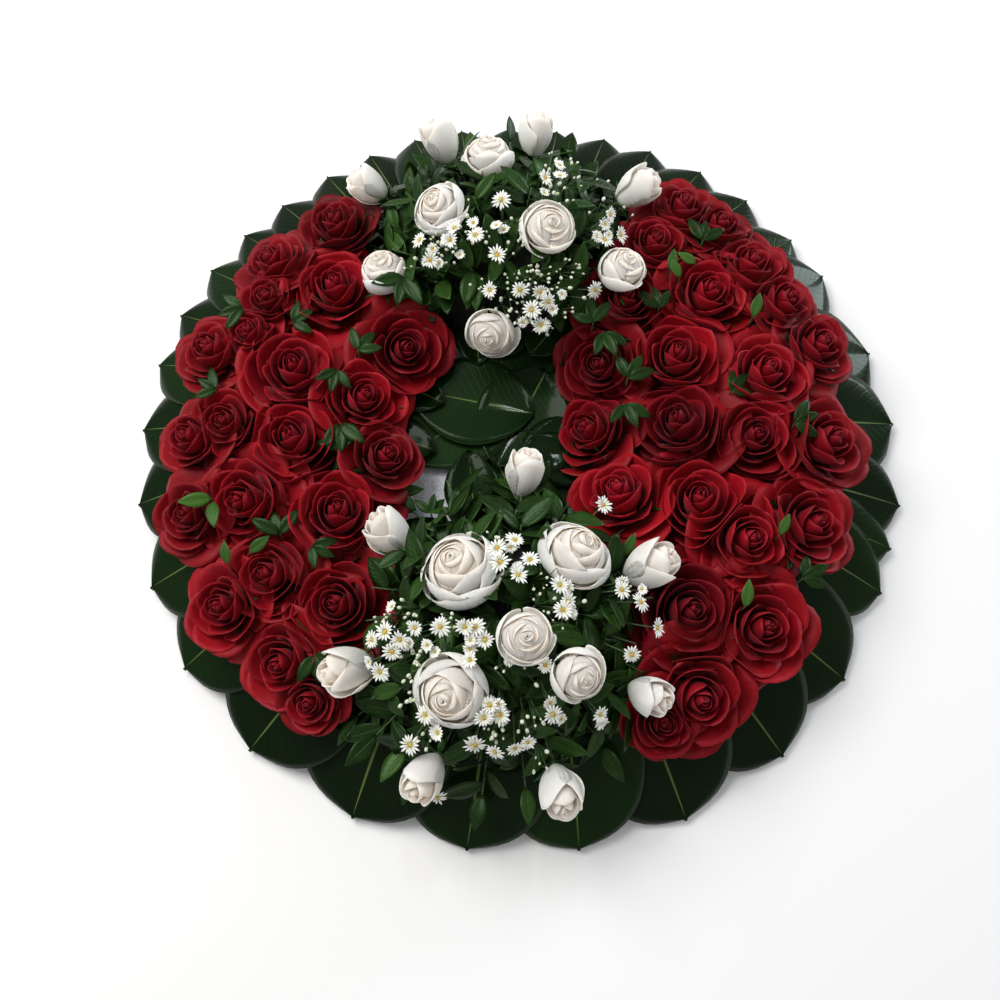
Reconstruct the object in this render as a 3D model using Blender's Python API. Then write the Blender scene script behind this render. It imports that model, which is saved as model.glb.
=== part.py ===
# Funeral wreath: a round foam base skirted with big glossy leaves, two banks of
# red roses, and two domed sprays of white roses, small asters and fine foliage.
# It lies on its flat back. +X is its right side and +Y its top, as it would hang.

import math
import random

import bmesh
import bpy
from mathutils import Matrix, Vector

# Driving dimensions, in metres and radians
WREATH_RADIUS = 0.400
BASE_RADIUS = 0.290
BASE_HEIGHT = 0.045
BASE_BEVEL = 0.008
BASE_SIDES = 48
AIR = 0.0004
BLADE = 0.0012
LEAST_VOLUME = 1.2e-6

RIM_SPRIGS = 9
RIM_ROOT_RADIUS = 0.262
RIM_BEND_RADIUS = 0.286
RIM_TIP_HEIGHT = 0.011
RIM_TWIST = math.radians(4.0)
RIM_LIFT = 0.0044
RIM_OVERLAP = 1.18
RIM_SPARE_WIDTH = 0.012
STALK_MEETING_RADIUS = 0.255
STALK_WIDTH = 0.0044
RIM_OUTLINE = [(0.00, 0.34), (0.24, 0.84), (0.52, 1.00), (0.79, 0.84), (0.94, 0.40)]

BANK_CREST_RADIUS = 0.205
BANK_CREST_HEIGHT = 0.104
BANK_OUTER_FALL = 0.012
BANK_OUTER_REACH = 0.105
BANK_INNER_FALL = 0.010
BANK_INNER_REACH = 0.085
BANK_LEAN_GAIN = 1.6
ROSE_ROOT_LIMIT = 0.240
KNEE_HEIGHT = 0.062
ROOT_TURNS = (0, 3, -3, 6, -6, 9, -9, 12, -12)
STEM_HOLE_DEPTH = 0.014
STEM_RADIUS = 0.0024
HOLE_SIDES = 4
HOLE_CLEARANCE = 1.75
HOLE_REACH = 0.045
FUSED_OVERLAP = 0.0055
PETAL_AIR = 0.0007

SPRAY_CENTRE_RADIUS = 0.173
SPRAY_CORE_SIZE = Vector((0.088, 0.068, 0.084))
SPRAY_FACING_DEPTH = 0.030
SPRAY_LEAVES = 25
SPRAY_LEAF_LENGTH = 0.052
SPRAY_LEAF_WIDTH = 0.025
SPRAY_LEAF_TRIES = 40

ASTER_RADIUS = 0.0105
ASTER_RAYS = 8
ASTER_HEADS = 5
ASTER_SPREAD = 0.0235
ASTER_WAIST = 0.46
ASTER_HALF_THICKNESS = 0.0022
ASTER_STEM_RADIUS = 0.0016
ASTER_STALK_RADIUS = 0.0010

# The eye that sees each bloom at its picture point, and the picture's own scale
EYE = Vector((-0.018, -0.408, 1.094))
EYE_TILT = math.radians(18)
FOCAL_POINTS = 1100.0
PICTURE_MIDDLE = 500.0

# Rim leaves: heading of each tip in degrees, anticlockwise from the right
RIM_HEADINGS = [
    -9, 4, 16, 31, 39, 49, 58, 67, 75, 83, 91, 99, 107, 115, 123, 132, 140,
    148, 157, 166, 177, 189, 202, 215, 230, 247, 263, 278, 293, 309, 323, 337, 344,
]

# Red roses by the sprigs that press together: picture point and head width in mm
RED_ROSES = {
    "left_1": [((334, 220), 70), ((334, 284), 84), ((270, 258), 66)],
    "left_2": [((266, 296), 56), ((247, 331), 50), ((209, 347), 68)],
    "left_3": [((187, 436), 62), ((223, 421), 60), ((290, 437), 88)],
    "left_4": [((293, 366), 90), ((364, 395), 72), ((407, 348), 80)],
    "left_5": [((387, 454), 70), ((337, 510), 92)],
    "left_6": [((186, 514), 64), ((240, 501), 82)],
    "left_7": [((220, 606), 70), ((266, 574), 72), ((335, 604), 86)],
    "left_8": [((279, 664), 72), ((308, 703), 52)],
    "right_1": [((683, 205), 72), ((721, 222), 58), ((752, 261), 72)],
    "right_2": [((655, 240), 68), ((627, 296), 80)],
    "right_3": [((787, 298), 62), ((822, 342), 66), ((768, 369), 80)],
    "right_4": [((709, 290), 82), ((677, 353), 86)],
    "right_5": [((598, 364), 74), ((586, 428), 74), ((617, 489), 80)],
    "right_6": [((677, 420), 92), ((700, 498), 92)],
    "right_7": [((756, 434), 82), ((832, 438), 80)],
    "right_8": [((750, 538), 78), ((815, 522), 80)],
    "right_9": [((691, 610), 94), ((774, 624), 85)],
    "right_10": [((704, 696), 86), ((660, 727), 58)],
}

# White roses: picture point, head width in mm, height of the head's middle in mm, form
WHITE_ROSES = {
    "top": [
        ((440, 141), 42, 118, "bud"),
        ((488, 154), 48, 148, "half_open"),
        ((437, 205), 50, 160, "open"),
        ((550, 226), 54, 168, "open"),
        ((380, 267), 46, 118, "half_open"),
        ((490, 335), 50, 122, "open"),
        ((638, 189), 42, 112, "bud"),
        ((625, 268), 48, 128, "half_open"),
        ((368, 186), 38, 106, "bud"),
        ((536, 134), 40, 116, "bud"),
    ],
    "bottom": [
        ((524, 473), 40, 116, "bud"),
        ((389, 533), 44, 108, "bud"),
        ((457, 565), 66, 158, "open"),
        ((578, 549), 62, 152, "open"),
        ((650, 565), 46, 118, "bud"),
        ((526, 636), 47, 186, "open"),
        ((580, 676), 48, 170, "half_open"),
        ((449, 695), 60, 160, "open"),
        ((348, 669), 46, 104, "bud"),
        ((650, 694), 42, 110, "bud"),
        ((425, 777), 40, 104, "bud"),
        ((560, 790), 42, 104, "bud"),
    ],
}

# Aster sprigs: picture point and height in mm of the middle head
ASTER_SPRIGS = {
    "top": [((486, 247), 168), ((536, 300), 150)],
    "bottom": [((512, 590), 176), ((400, 628), 136), ((512, 722), 164)],
}

# The middle's leaves: where each one's middle lies in metres, heading and length
CENTRE_LEAF_WIDTH = 0.098
CENTRE_STEP = 0.0008
CENTRE_LEAVES = [
    ((-0.020, -0.030), -64, 0.130),
    ((0.018, 0.052), 20, 0.110),
    ((-0.062, 0.010), -150, 0.120),
    ((-0.049, 0.036), 168, 0.120),
    ((0.000, 0.022), -112, 0.106),
]
CENTRE_OUTLINE = [(-0.34, 0.62), (-0.08, 1.00), (0.22, 0.94), (0.42, 0.52)]

# Rose heads, turned about their axis: ring radius and height as shares of half the
# head's width, how deep the notches between petals are, and which way the petals lie
OPEN_ROSE = [
    (1.15, -0.04, 0.10, 0),
    (0.72, -0.13, 0.00, 0),
    (0.78, 0.23, 0.07, 1),
    (0.42, 0.06, 0.00, 1),
    (0.46, 0.38, 0.06, 0),
]
HALF_OPEN_ROSE = [
    (1.00, 0.10, 0.07, 0),
    (0.76, 0.00, 0.00, 0),
    (0.78, 0.48, 0.06, 1),
    (0.46, 0.28, 0.00, 1),
    (0.46, 0.58, 0.05, 0),
]
BUD = [
    (0.94, -0.62, 0.03, 0),
    (0.86, 0.36, 0.04, 0),
    (1.00, 1.02, 0.10, 0),
    (0.62, 0.78, 0.00, 0),
]
FORMS = {"open": OPEN_ROSE, "small": OPEN_ROSE, "half_open": HALF_OPEN_ROSE, "bud": BUD}
CALYX = {
    "open": (0.20, -0.80),
    "small": (0.22, -0.86),
    "half_open": (0.22, -1.02),
    "bud": (0.24, -1.32),
}
FORM_REACH = {"open": 1.15, "small": 1.15, "half_open": 1.0, "bud": 1.22}
HEART_HEIGHT = {"open": 0.14, "small": 0.14, "half_open": 0.34, "bud": 1.22}
PETALS = {"open": 5, "small": 4, "half_open": 5, "bud": 4}
SMALL_ROSE_WIDTH = 0.061
FULLNESS = 1.10

MATERIALS = {
    "foam": ((0.78, 0.79, 0.80), 0.85),
    "big_leaf": ((0.035, 0.10, 0.03), 0.30),
    "red_petal": ((0.45, 0.008, 0.02), 0.55),
    "white_petal": ((0.86, 0.82, 0.74), 0.60),
    "spray_leaf": ((0.04, 0.13, 0.035), 0.45),
    "aster": ((0.88, 0.88, 0.84), 0.60),
}


def line_of_sight(point):
    """The direction in which the eye sees a picture point."""
    ahead = Vector((0, math.sin(EYE_TILT), -math.cos(EYE_TILT)))
    up = Vector((0, math.cos(EYE_TILT), math.sin(EYE_TILT)))
    across = (point[0] - PICTURE_MIDDLE) / FOCAL_POINTS
    down = (point[1] - PICTURE_MIDDLE) / FOCAL_POINTS
    return ahead + Vector((across, 0, 0)) - up * down


def place_at_height(point, height):
    ray = line_of_sight(point)
    return EYE + ray * ((height - EYE.z) / ray.z)


def bank_height(radius):
    """Height of a red rose's middle on the rounded bank."""
    out = radius - BANK_CREST_RADIUS
    if out > 0:
        return BANK_CREST_HEIGHT - BANK_OUTER_FALL * (out / BANK_OUTER_REACH) ** 2
    return BANK_CREST_HEIGHT - BANK_INNER_FALL * (out / BANK_INNER_REACH) ** 2


def place_on_bank(point):
    place = place_at_height(point, BANK_CREST_HEIGHT)
    for _ in range(12):
        place = place_at_height(point, bank_height(place.xy.length))
    return place


def bank_normal(place):
    radius = place.xy.length
    step = 0.002
    slope = (bank_height(radius - step) - bank_height(radius + step)) / (2 * step)
    lean = BANK_LEAN_GAIN * math.atan(slope)
    out = Vector((place.x, place.y, 0)).normalized()
    return out * math.sin(lean) + Vector((0, 0, math.cos(lean)))


def clear_scene():
    for thing in list(bpy.data.objects):
        bpy.data.objects.remove(thing)


def make_materials():
    made = {}
    for name, (colour, roughness) in MATERIALS.items():
        material = bpy.data.materials.new(name)
        material.use_nodes = True
        shader = material.node_tree.nodes["Principled BSDF"]
        shader.inputs["Base Color"].default_value = (*colour, 1)
        shader.inputs["Roughness"].default_value = roughness
        shader.inputs["Metallic"].default_value = 0
        made[name] = material
    return made


def make_collection(name):
    collection = bpy.data.collections.new(name)
    bpy.context.scene.collection.children.link(collection)
    return collection


def object_from(bm, name, collection):
    mesh = bpy.data.meshes.new(name)
    bmesh.ops.recalc_face_normals(bm, faces=bm.faces)
    if bm.calc_volume(signed=True) < 0:
        bmesh.ops.reverse_faces(bm, faces=bm.faces)
    bm.to_mesh(mesh)
    bm.free()
    made = bpy.data.objects.new(name, mesh)
    collection.objects.link(made)
    return made


def finish(thing, material):
    thing.data.materials.clear()
    thing.data.materials.append(material)
    thing.data.shade_smooth()
    thing.data.set_sharp_from_angle(angle=math.radians(35))
    return thing


def is_closed(mesh):
    """Whether every edge has two faces and the whole encloses more than a little."""
    bm = bmesh.new()
    bm.from_mesh(mesh)
    closed = all(len(edge.link_faces) == 2 for edge in bm.edges)
    roomy = bm.calc_volume(signed=True) > LEAST_VOLUME
    bm.free()
    return closed and roomy


def combine(first, others, operation):
    """Applies one Boolean of all the others to the first, and removes the others."""
    if not others:
        return first
    tools = bpy.data.collections.new(first.name + "_tools")
    for other in others:
        for holder in list(other.users_collection):
            holder.objects.unlink(other)
        tools.objects.link(other)
    modifier = first.modifiers.new("combine", "BOOLEAN")
    modifier.operation = operation
    modifier.operand_type = "COLLECTION"
    modifier.collection = tools
    for solver in ("MANIFOLD", "EXACT"):
        modifier.solver = solver
        graph = bpy.context.evaluated_depsgraph_get()
        mesh = bpy.data.meshes.new_from_object(first.evaluated_get(graph))
        if is_closed(mesh):
            break
    first.modifiers.clear()
    first.data = mesh
    for other in list(tools.objects):
        bpy.data.objects.remove(other)
    bpy.data.collections.remove(tools)
    return first


def loft(bm, rings):
    """Joins rings of points with faces. A ring may have twice its neighbour's points."""
    for low, high in zip(rings, rings[1:]):
        if len(high) == 1:
            for i in range(len(low)):
                bm.faces.new((low[i], low[(i + 1) % len(low)], high[0]))
            continue
        share = len(high) // len(low)
        for i in range(len(low)):
            after = low[(i + 1) % len(low)]
            top = [high[(i * share + k) % len(high)] for k in range(share + 1)]
            if share == 1:
                bm.faces.new((low[i], after, top[1], top[0]))
            else:
                bm.faces.new((low[i], top[1], top[0]))
                bm.faces.new((low[i], after, top[1]))
                bm.faces.new((after, top[2], top[1]))


def ring_of(bm, centre, axis, side, radius, sides, turn=0.0):
    other = axis.cross(side)
    points = []
    for i in range(sides):
        angle = turn + 2 * math.pi * i / sides
        spoke = side * math.cos(angle) + other * math.sin(angle)
        points.append(bm.verts.new(centre + spoke * radius))
    return points


def side_of(axis):
    """A direction square to the axis, for turned shapes to start from."""
    helper = Vector((1, 0, 0)) if abs(axis.x) < 0.8 else Vector((0, 1, 0))
    return axis.cross(helper).normalized()


def segment_distance(point, start, end):
    line = end - start
    share = max(0.0, min(1.0, (point - start).dot(line) / line.length_squared))
    return (point - (start + line * share)).length


class Bloom:
    """One rose: where its head is, which way it faces and how its stem runs."""

    def __init__(self, centre, axis, width, form, node, turn):
        self.centre = centre
        self.axis = axis.normalized()
        self.radius = width / 2
        self.form = form
        self.node = node
        self.turn = turn
        self.calyx = centre + self.axis * CALYX[form][1] * self.radius
        self.stem = []

    def middle(self):
        """The middle of the head's bulk."""
        lift = 0.1 if self.form == "bud" else -0.08
        return self.centre + self.axis * lift * self.radius

    def reach(self):
        return self.radius * FORM_REACH[self.form]

    def rings(self):
        """The head's petals before anything presses them: rims and hollows in turn."""
        side = side_of(self.axis)
        other = self.axis.cross(side)
        rings = []
        for radius, height, notch, phase in FORMS[self.form]:
            ring = []
            for i in range(2 * PETALS[self.form]):
                angle = self.turn + math.pi * i / PETALS[self.form]
                dip = notch if (i + phase) % 2 else -notch * 0.3
                spoke = side * math.cos(angle) + other * math.sin(angle)
                place = spoke * (radius - dip) + self.axis * (height - dip * 0.8)
                ring.append(self.centre + place * self.radius)
            rings.append(ring)
        return rings

    def spread(self, towards):
        """How far the petals come out from the middle in one direction."""
        return max((p - self.middle()).dot(towards) for ring in self.rings() for p in ring)

    def holds(self, point, margin):
        """Whether a point is in the stem, or in the cone from the calyx to the rim."""
        path = self.stem + [self.calyx]
        for start, end in zip(path, path[1:]):
            if segment_distance(point, start, end) < STEM_RADIUS + margin:
                return True
        above = (point - self.calyx).dot(self.axis)
        if above < -margin or above > 2.2 * self.radius:
            return False
        beside = (point - self.calyx - self.axis * above).length
        cone = self.radius * CALYX[self.form][0] + 1.25 * max(above, 0.0)
        return beside < min(cone, self.reach()) + margin


def press(point, bloom, neighbours):
    """Moves a petal's point back from each neighbour, as crowded petals press flat.
    Towards a rose of its own sprig it goes as far as makes the two join."""
    for towards, limit, stretch in neighbours * 2:
        along = (point - bloom.middle()).dot(towards)
        if along < 0:
            continue
        if stretch:
            point = point + towards * along * (stretch - 1)
            continue
        flat = limit * 0.72
        if along > flat:
            room = limit - flat
            pressed = flat + room * (1 - math.exp(-(along - flat) / room))
            point = point - towards * (along - pressed)
    return point


def rose_mesh(bloom, neighbours):
    """A rose in one closed surface: stem, calyx, then cup inside cup of petals."""
    bm = bmesh.new()
    axis = bloom.axis
    side = side_of(axis)
    sides = PETALS[bloom.form]
    rings = []
    path = bloom.stem + [bloom.calyx]
    for place, after in zip(path, path[1:]):
        way = (after - place).normalized()
        if rings:
            way = (way + (place - path[0]).normalized()).normalized()
        stem_side = (side - way * side.dot(way)).normalized()
        rings.append(ring_of(bm, place, way, stem_side, STEM_RADIUS, sides, bloom.turn))
    calyx_radius = CALYX[bloom.form][0] * bloom.radius
    rings.append(ring_of(bm, bloom.calyx, axis, side, calyx_radius, sides, bloom.turn))
    bm.faces.new(list(reversed(rings[0])))
    for ring in bloom.rings():
        rings.append([bm.verts.new(press(point, bloom, neighbours)) for point in ring])
    heart = bloom.centre + axis * HEART_HEIGHT[bloom.form] * bloom.radius
    rings.append([bm.verts.new(press(heart, bloom, neighbours))])
    loft(bm, rings)
    return bm


def stem_cutter(root, above, collection):
    """A plain square hole round a stem, from its root to just outside."""
    axis = (above - root).normalized()
    bm = bmesh.new()
    side = side_of(axis)
    radius = STEM_RADIUS * HOLE_CLEARANCE
    low = ring_of(bm, root - axis * AIR, axis, side, radius, HOLE_SIDES)
    high = ring_of(bm, root + axis * HOLE_REACH, axis, side, radius, HOLE_SIDES)
    bm.faces.new(list(reversed(low)))
    bm.faces.new(high)
    loft(bm, [low, high])
    return object_from(bm, "stem_hole", collection)


def stem_is_clear(bloom, others):
    """Whether a red rose's stem keeps away from the other sprigs' stems and heads."""
    path = bloom.stem + [bloom.calyx]
    for start, end in zip(path, path[1:]):
        for k in range(9):
            sample = start + (end - start) * k / 8
            if any(other.holds(sample, 0.0045) for other in others):
                return False
    return True


def root_red_bloom(bloom, others):
    """Stands a red rose's stem upright in the foam, then leans it out to the head."""
    out = Vector((bloom.centre.x, bloom.centre.y, 0)).normalized()
    reach = bloom.calyx.xy.length
    options = [(min(reach, ROSE_ROOT_LIMIT), turn) for turn in ROOT_TURNS]
    if reach < ROSE_ROOT_LIMIT:
        options += [(reach + 0.010, turn) for turn in ROOT_TURNS]
    options += [(min(reach, ROSE_ROOT_LIMIT) - 0.014, turn) for turn in ROOT_TURNS]
    for radius, turn in options:
        root = Matrix.Rotation(math.radians(turn), 3, "Z") @ out * radius
        root.z = BASE_HEIGHT - STEM_HOLE_DEPTH
        bloom.stem = [root, Vector((root.x, root.y, KNEE_HEIGHT))]
        if stem_is_clear(bloom, others):
            return
    print("no clear root for", bloom.node)


def red_blooms():
    blooms = []
    for sprig, roses in RED_ROSES.items():
        for point, width in roses:
            place = place_on_bank(point)
            node = "red_roses_" + sprig
            turn = 0.7 * len(blooms)
            form = "small" if width / 1000 < SMALL_ROSE_WIDTH else "open"
            full = width / 1000 * FULLNESS
            blooms.append(Bloom(place, bank_normal(place), full, form, node, turn))
    inner_first = sorted(blooms, key=lambda bloom: bloom.centre.xy.length)
    for bloom in inner_first:
        others = [other for other in blooms if other.node != bloom.node]
        root_red_bloom(bloom, others)
    return blooms


def spray_centre(where):
    sign = 1 if where == "top" else -1
    return Vector((-0.012, sign * SPRAY_CENTRE_RADIUS, BASE_HEIGHT + AIR))


def on_core(where, place, depth):
    """The point under a place on the spray's core, sunk by depth."""
    centre = spray_centre(where)
    towards = (place - centre).normalized()
    size = SPRAY_CORE_SIZE
    scaled = Vector((towards.x / size.x, towards.y / size.y, towards.z / size.z))
    return centre + towards * (1 / scaled.length - depth)


def white_blooms():
    blooms = []
    for where, roses in WHITE_ROSES.items():
        centre = spray_centre(where)
        outward = Vector((0, 0.025 if where == "top" else -0.025, -SPRAY_FACING_DEPTH))
        for number, (point, width, height, form) in enumerate(roses, 1):
            place = place_at_height(point, height / 1000)
            axis = place - (centre + outward)
            node = f"white_rose_{where}_{number}"
            bloom = Bloom(place, axis, width / 1000, form, node, 0.9 * number)
            root = on_core(where, bloom.calyx, STEM_HOLE_DEPTH)
            way = (bloom.calyx - root).normalized()
            bloom.stem = [root, root + way * (STEM_HOLE_DEPTH + 0.004)]
            blooms.append(bloom)
    return blooms


def neighbours_of(bloom, blooms):
    """The way to each bloom near this one, how far this one may spread that way,
    and by what share it is drawn out or in to meet a rose of its own sprig."""
    found = []
    for other in blooms:
        if other is bloom:
            continue
        between = other.middle() - bloom.middle()
        fused = other.node == bloom.node
        if between.length > (bloom.reach() + other.reach()) * 1.3:
            continue
        share = bloom.reach() / (bloom.reach() + other.reach())
        limit = between.length * share + (FUSED_OVERLAP if fused else -PETAL_AIR)
        towards = between.normalized()
        stretch = (limit / bloom.spread(towards)) ** 0.5 if fused else None
        found.append((towards, limit, stretch))
    return found


def make_roses(blooms, all_blooms, collection, material):
    """The roses, each pressed by all round it, and joined where they share a sprig."""
    by_node = {}
    for bloom in blooms:
        bm = rose_mesh(bloom, neighbours_of(bloom, all_blooms))
        made = object_from(bm, bloom.node, collection)
        by_node.setdefault(bloom.node, []).append(made)
    for node, pieces in by_node.items():
        whole = combine(pieces[0], pieces[1:], "UNION")
        whole.name = node
        finish(whole, material)


def make_base(blooms, collection, material):
    """The foam disc with its chamfered top edge, and a hole for each red rose's stem."""
    bm = bmesh.new()
    made = bmesh.ops.create_cone(
        bm,
        cap_ends=True,
        cap_tris=False,
        segments=BASE_SIDES,
        radius1=BASE_RADIUS,
        radius2=BASE_RADIUS,
        depth=BASE_HEIGHT,
        matrix=Matrix.Translation((0, 0, BASE_HEIGHT / 2)),
    )
    top = [v for v in made["verts"] if v.co.z > BASE_HEIGHT / 2]
    edges = {e for v in top for e in v.link_edges if all(w in top for w in e.verts)}
    bmesh.ops.bevel(
        bm,
        geom=list(edges),
        offset=BASE_BEVEL,
        segments=1,
        profile=0.5,
        affect="EDGES",
        material=-1,
    )
    base = object_from(bm, "foam_base", collection)
    cutters = [stem_cutter(b.stem[0], b.stem[1], collection) for b in blooms]
    combine(base, cutters, "DIFFERENCE")
    return finish(base, material)


def rim_profile(radius):
    """Height of a rim leaf's underside: flat on the base, then falling to its tip."""
    level = BASE_HEIGHT + AIR + RIM_LIFT
    if radius < RIM_BEND_RADIUS:
        return level
    share = (radius - RIM_BEND_RADIUS) / (WREATH_RADIUS - RIM_BEND_RADIUS)
    return level - (level - RIM_TIP_HEIGHT) * share ** 1.35


def rim_leaf(bm, direction, width, length_share, stalk):
    """One leaf grown from its stalk's two points, tilted like a tile over the next."""
    out = Vector((math.cos(direction), math.sin(direction), 0))
    across = Vector((-out.y, out.x, 0))
    tip_radius = RIM_ROOT_RADIUS + (WREATH_RADIUS - RIM_ROOT_RADIUS) * length_share
    rows = [stalk]
    for along, spread in RIM_OUTLINE:
        radius = RIM_ROOT_RADIUS + (tip_radius - RIM_ROOT_RADIUS) * along
        rib = out * radius
        rib.z = rim_profile(radius)
        half = width / 2 * spread
        row = []
        for sign in (-1, 1):
            point = rib + across * (sign * half)
            point.z += sign * half * math.tan(RIM_TWIST)
            row.append(bm.verts.new(point))
        rows.append(row)
    tip = out * tip_radius
    tip.z = rim_profile(tip_radius)
    rows.append([bm.verts.new(tip)])
    for low, high in zip(rows, rows[1:]):
        bm.faces.new((low[0], low[1], high[-1]))
        if len(high) == 2:
            bm.faces.new((low[0], high[1], high[0]))


def thicken(bm, name, collection):
    """Makes a blade of a sheet: it is split into triangles alike on both its faces."""
    bmesh.ops.triangulate(bm, faces=bm.faces)
    grown = bmesh.ops.extrude_face_region(bm, geom=list(bm.faces))
    raised = [item for item in grown["geom"] if isinstance(item, bmesh.types.BMVert)]
    bmesh.ops.translate(bm, vec=(0, 0, BLADE), verts=raised)
    return object_from(bm, name, collection)


def tube(start, end, radius, sides, collection):
    axis = (end - start).normalized()
    bm = bmesh.new()
    side = side_of(axis)
    low = ring_of(bm, start, axis, side, radius, sides)
    high = ring_of(bm, end, axis, side, radius, sides)
    bm.faces.new(list(reversed(low)))
    bm.faces.new(high)
    loft(bm, [low, high])
    return object_from(bm, "stalk", collection)


def rim_widths():
    """Each rim leaf's width, from the room between its two neighbours."""
    widths = []
    count = len(RIM_HEADINGS)
    for i in range(count):
        after = RIM_HEADINGS[(i + 1) % count] + (360 if i == count - 1 else 0)
        before = RIM_HEADINGS[i - 1] - (360 if i == 0 else 0)
        room = WREATH_RADIUS * math.radians(after - before) / 2
        widths.append(room * RIM_OVERLAP + RIM_SPARE_WIDTH)
    return widths


def stalk_joint(bm, heading, leaves):
    """A small fan of points where a sprig's stalks meet: two of them for each leaf."""
    turn = Matrix.Rotation(heading, 3, "Z")
    joint = []
    for k in range(leaves + 1):
        share = 2 * k / leaves - 1
        back = STALK_WIDTH * 1.3 * share**2
        aside = STALK_WIDTH * leaves / 2 * share
        place = Vector((STALK_MEETING_RADIUS - back, aside, BASE_HEIGHT + AIR))
        joint.append(bm.verts.new(turn @ place))
    bm.faces.new(list(reversed(joint)))
    return joint


def make_rim(collection, material):
    """Leaves in threes and fours, their stalks drawn together where a pin holds them."""
    widths = rim_widths()
    count = len(RIM_HEADINGS)
    for sprig in range(RIM_SPRIGS):
        own = range(sprig * count // RIM_SPRIGS, (sprig + 1) * count // RIM_SPRIGS)
        headings = [math.radians(RIM_HEADINGS[i]) for i in own]
        bm = bmesh.new()
        joint = stalk_joint(bm, (headings[0] + headings[-1]) / 2, len(own))
        for place, i in enumerate(own):
            length = 1 - 0.035 * math.sin(2.6 * i) ** 2
            rim_leaf(bm, headings[place], widths[i], length, joint[place : place + 2])
        made = thicken(bm, f"rim_leaves_{sprig + 1}", collection)
        finish(made, material)


def centre_outline(place, heading, length):
    """Points round one of the middle's leaves, pointed at its tip and at its stalk."""
    along = Vector((math.cos(math.radians(heading)), math.sin(math.radians(heading))))
    across = Vector((-along.y, along.x)) * CENTRE_LEAF_WIDTH / 2
    middle = Vector(place)
    left = [middle + along * length * a + across * w for a, w in CENTRE_OUTLINE]
    right = [middle + along * length * a - across * w for a, w in CENTRE_OUTLINE]
    tip = middle + along * length / 2
    stalk = middle - along * length / 2
    return left + [tip] + right[::-1] + [stalk]


def make_centre(collection, material):
    """Big leaves laid flat over the middle of the base, each one lapping the last."""
    pieces = []
    for number, (place, heading, length) in enumerate(CENTRE_LEAVES):
        level = BASE_HEIGHT + AIR + number * CENTRE_STEP
        bm = bmesh.new()
        edge = centre_outline(place, heading, length)
        bm.faces.new([bm.verts.new((point.x, point.y, level)) for point in edge])
        pieces.append(thicken(bm, "centre_leaf", collection))
    whole = combine(pieces[0], pieces[1:], "UNION")
    whole.name = "centre_leaves"
    return finish(whole, material)


def aster_places(where, point, height):
    """The middle and heads of one aster sprig, a flat-topped tuft facing outwards."""
    centre = spray_centre(where)
    middle = place_at_height(point, height)
    axis = (middle - centre + Vector((0, 0, SPRAY_FACING_DEPTH))).normalized()
    side = side_of(axis)
    other = axis.cross(side)
    heads = [middle + axis * 0.004]
    for k in range(ASTER_HEADS - 1):
        angle = 2 * math.pi * k / (ASTER_HEADS - 1)
        spoke = side * math.cos(angle) + other * math.sin(angle)
        lift = 0.003 * math.sin(2.5 * k)
        heads.append(middle + spoke * ASTER_SPREAD + axis * lift)
    return middle, axis, heads


def aster_head(place, axis, turn, collection):
    """A daisy-like head: white rays cut into the rim of a thin disc."""
    bm = bmesh.new()
    side = side_of(axis)
    other = axis.cross(side)
    rim = []
    for k in range(2 * ASTER_RAYS):
        angle = turn + math.pi * k / ASTER_RAYS
        radius = ASTER_RADIUS * (ASTER_WAIST if k % 2 else 1)
        spoke = side * math.cos(angle) + other * math.sin(angle)
        rim.append(bm.verts.new(place + spoke * radius))
    top = bm.verts.new(place + axis * ASTER_HALF_THICKNESS)
    bottom = bm.verts.new(place - axis * ASTER_HALF_THICKNESS)
    for k in range(len(rim)):
        after = rim[(k + 1) % len(rim)]
        bm.faces.new((rim[k], after, top))
        bm.faces.new((after, rim[k], bottom))
    return object_from(bm, "aster_head", collection)


def make_aster_sprig(where, point, height, collection):
    """One stem from the core, forking into a thin stalk for each head."""
    middle, axis, heads = aster_places(where, point, height)
    root = on_core(where, middle, STEM_HOLE_DEPTH)
    fork = root + (middle - root) * 0.5
    stem = tube(root, fork + axis * 0.002, ASTER_STEM_RADIUS, 4, collection)
    others = []
    for k, head in enumerate(heads):
        facing = (axis + (head - middle) * 9).normalized()
        others.append(aster_head(head, facing, 0.3 * k, collection))
        others.append(tube(fork - axis * 0.001, head, ASTER_STALK_RADIUS, 3, collection))
    return combine(stem, others, "UNION")


def make_asters(collection, material):
    for where, sprigs in ASTER_SPRIGS.items():
        for number, (point, height) in enumerate(sprigs, 1):
            whole = make_aster_sprig(where, point, height / 1000, collection)
            whole.name = f"aster_sprig_{where}_{number}"
            finish(whole, material)


def spray_core(where, collection):
    """The packed stems at the heart of a spray: a dome that the leaves stand out of."""
    centre = spray_centre(where)
    bm = bmesh.new()
    bmesh.ops.create_uvsphere(bm, u_segments=16, v_segments=8, radius=1)
    bmesh.ops.bisect_plane(
        bm,
        geom=list(bm.verts) + list(bm.edges) + list(bm.faces),
        plane_co=(0, 0, 0),
        plane_no=(0, 0, 1),
        clear_inner=True,
    )
    open_edges = [e for e in bm.edges if len(e.link_faces) == 1]
    bmesh.ops.holes_fill(bm, edges=open_edges, sides=0)
    size = SPRAY_CORE_SIZE
    bmesh.ops.scale(bm, vec=size, verts=bm.verts)
    bmesh.ops.translate(bm, vec=centre, verts=bm.verts)
    return object_from(bm, "spray_core", collection)


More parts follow.
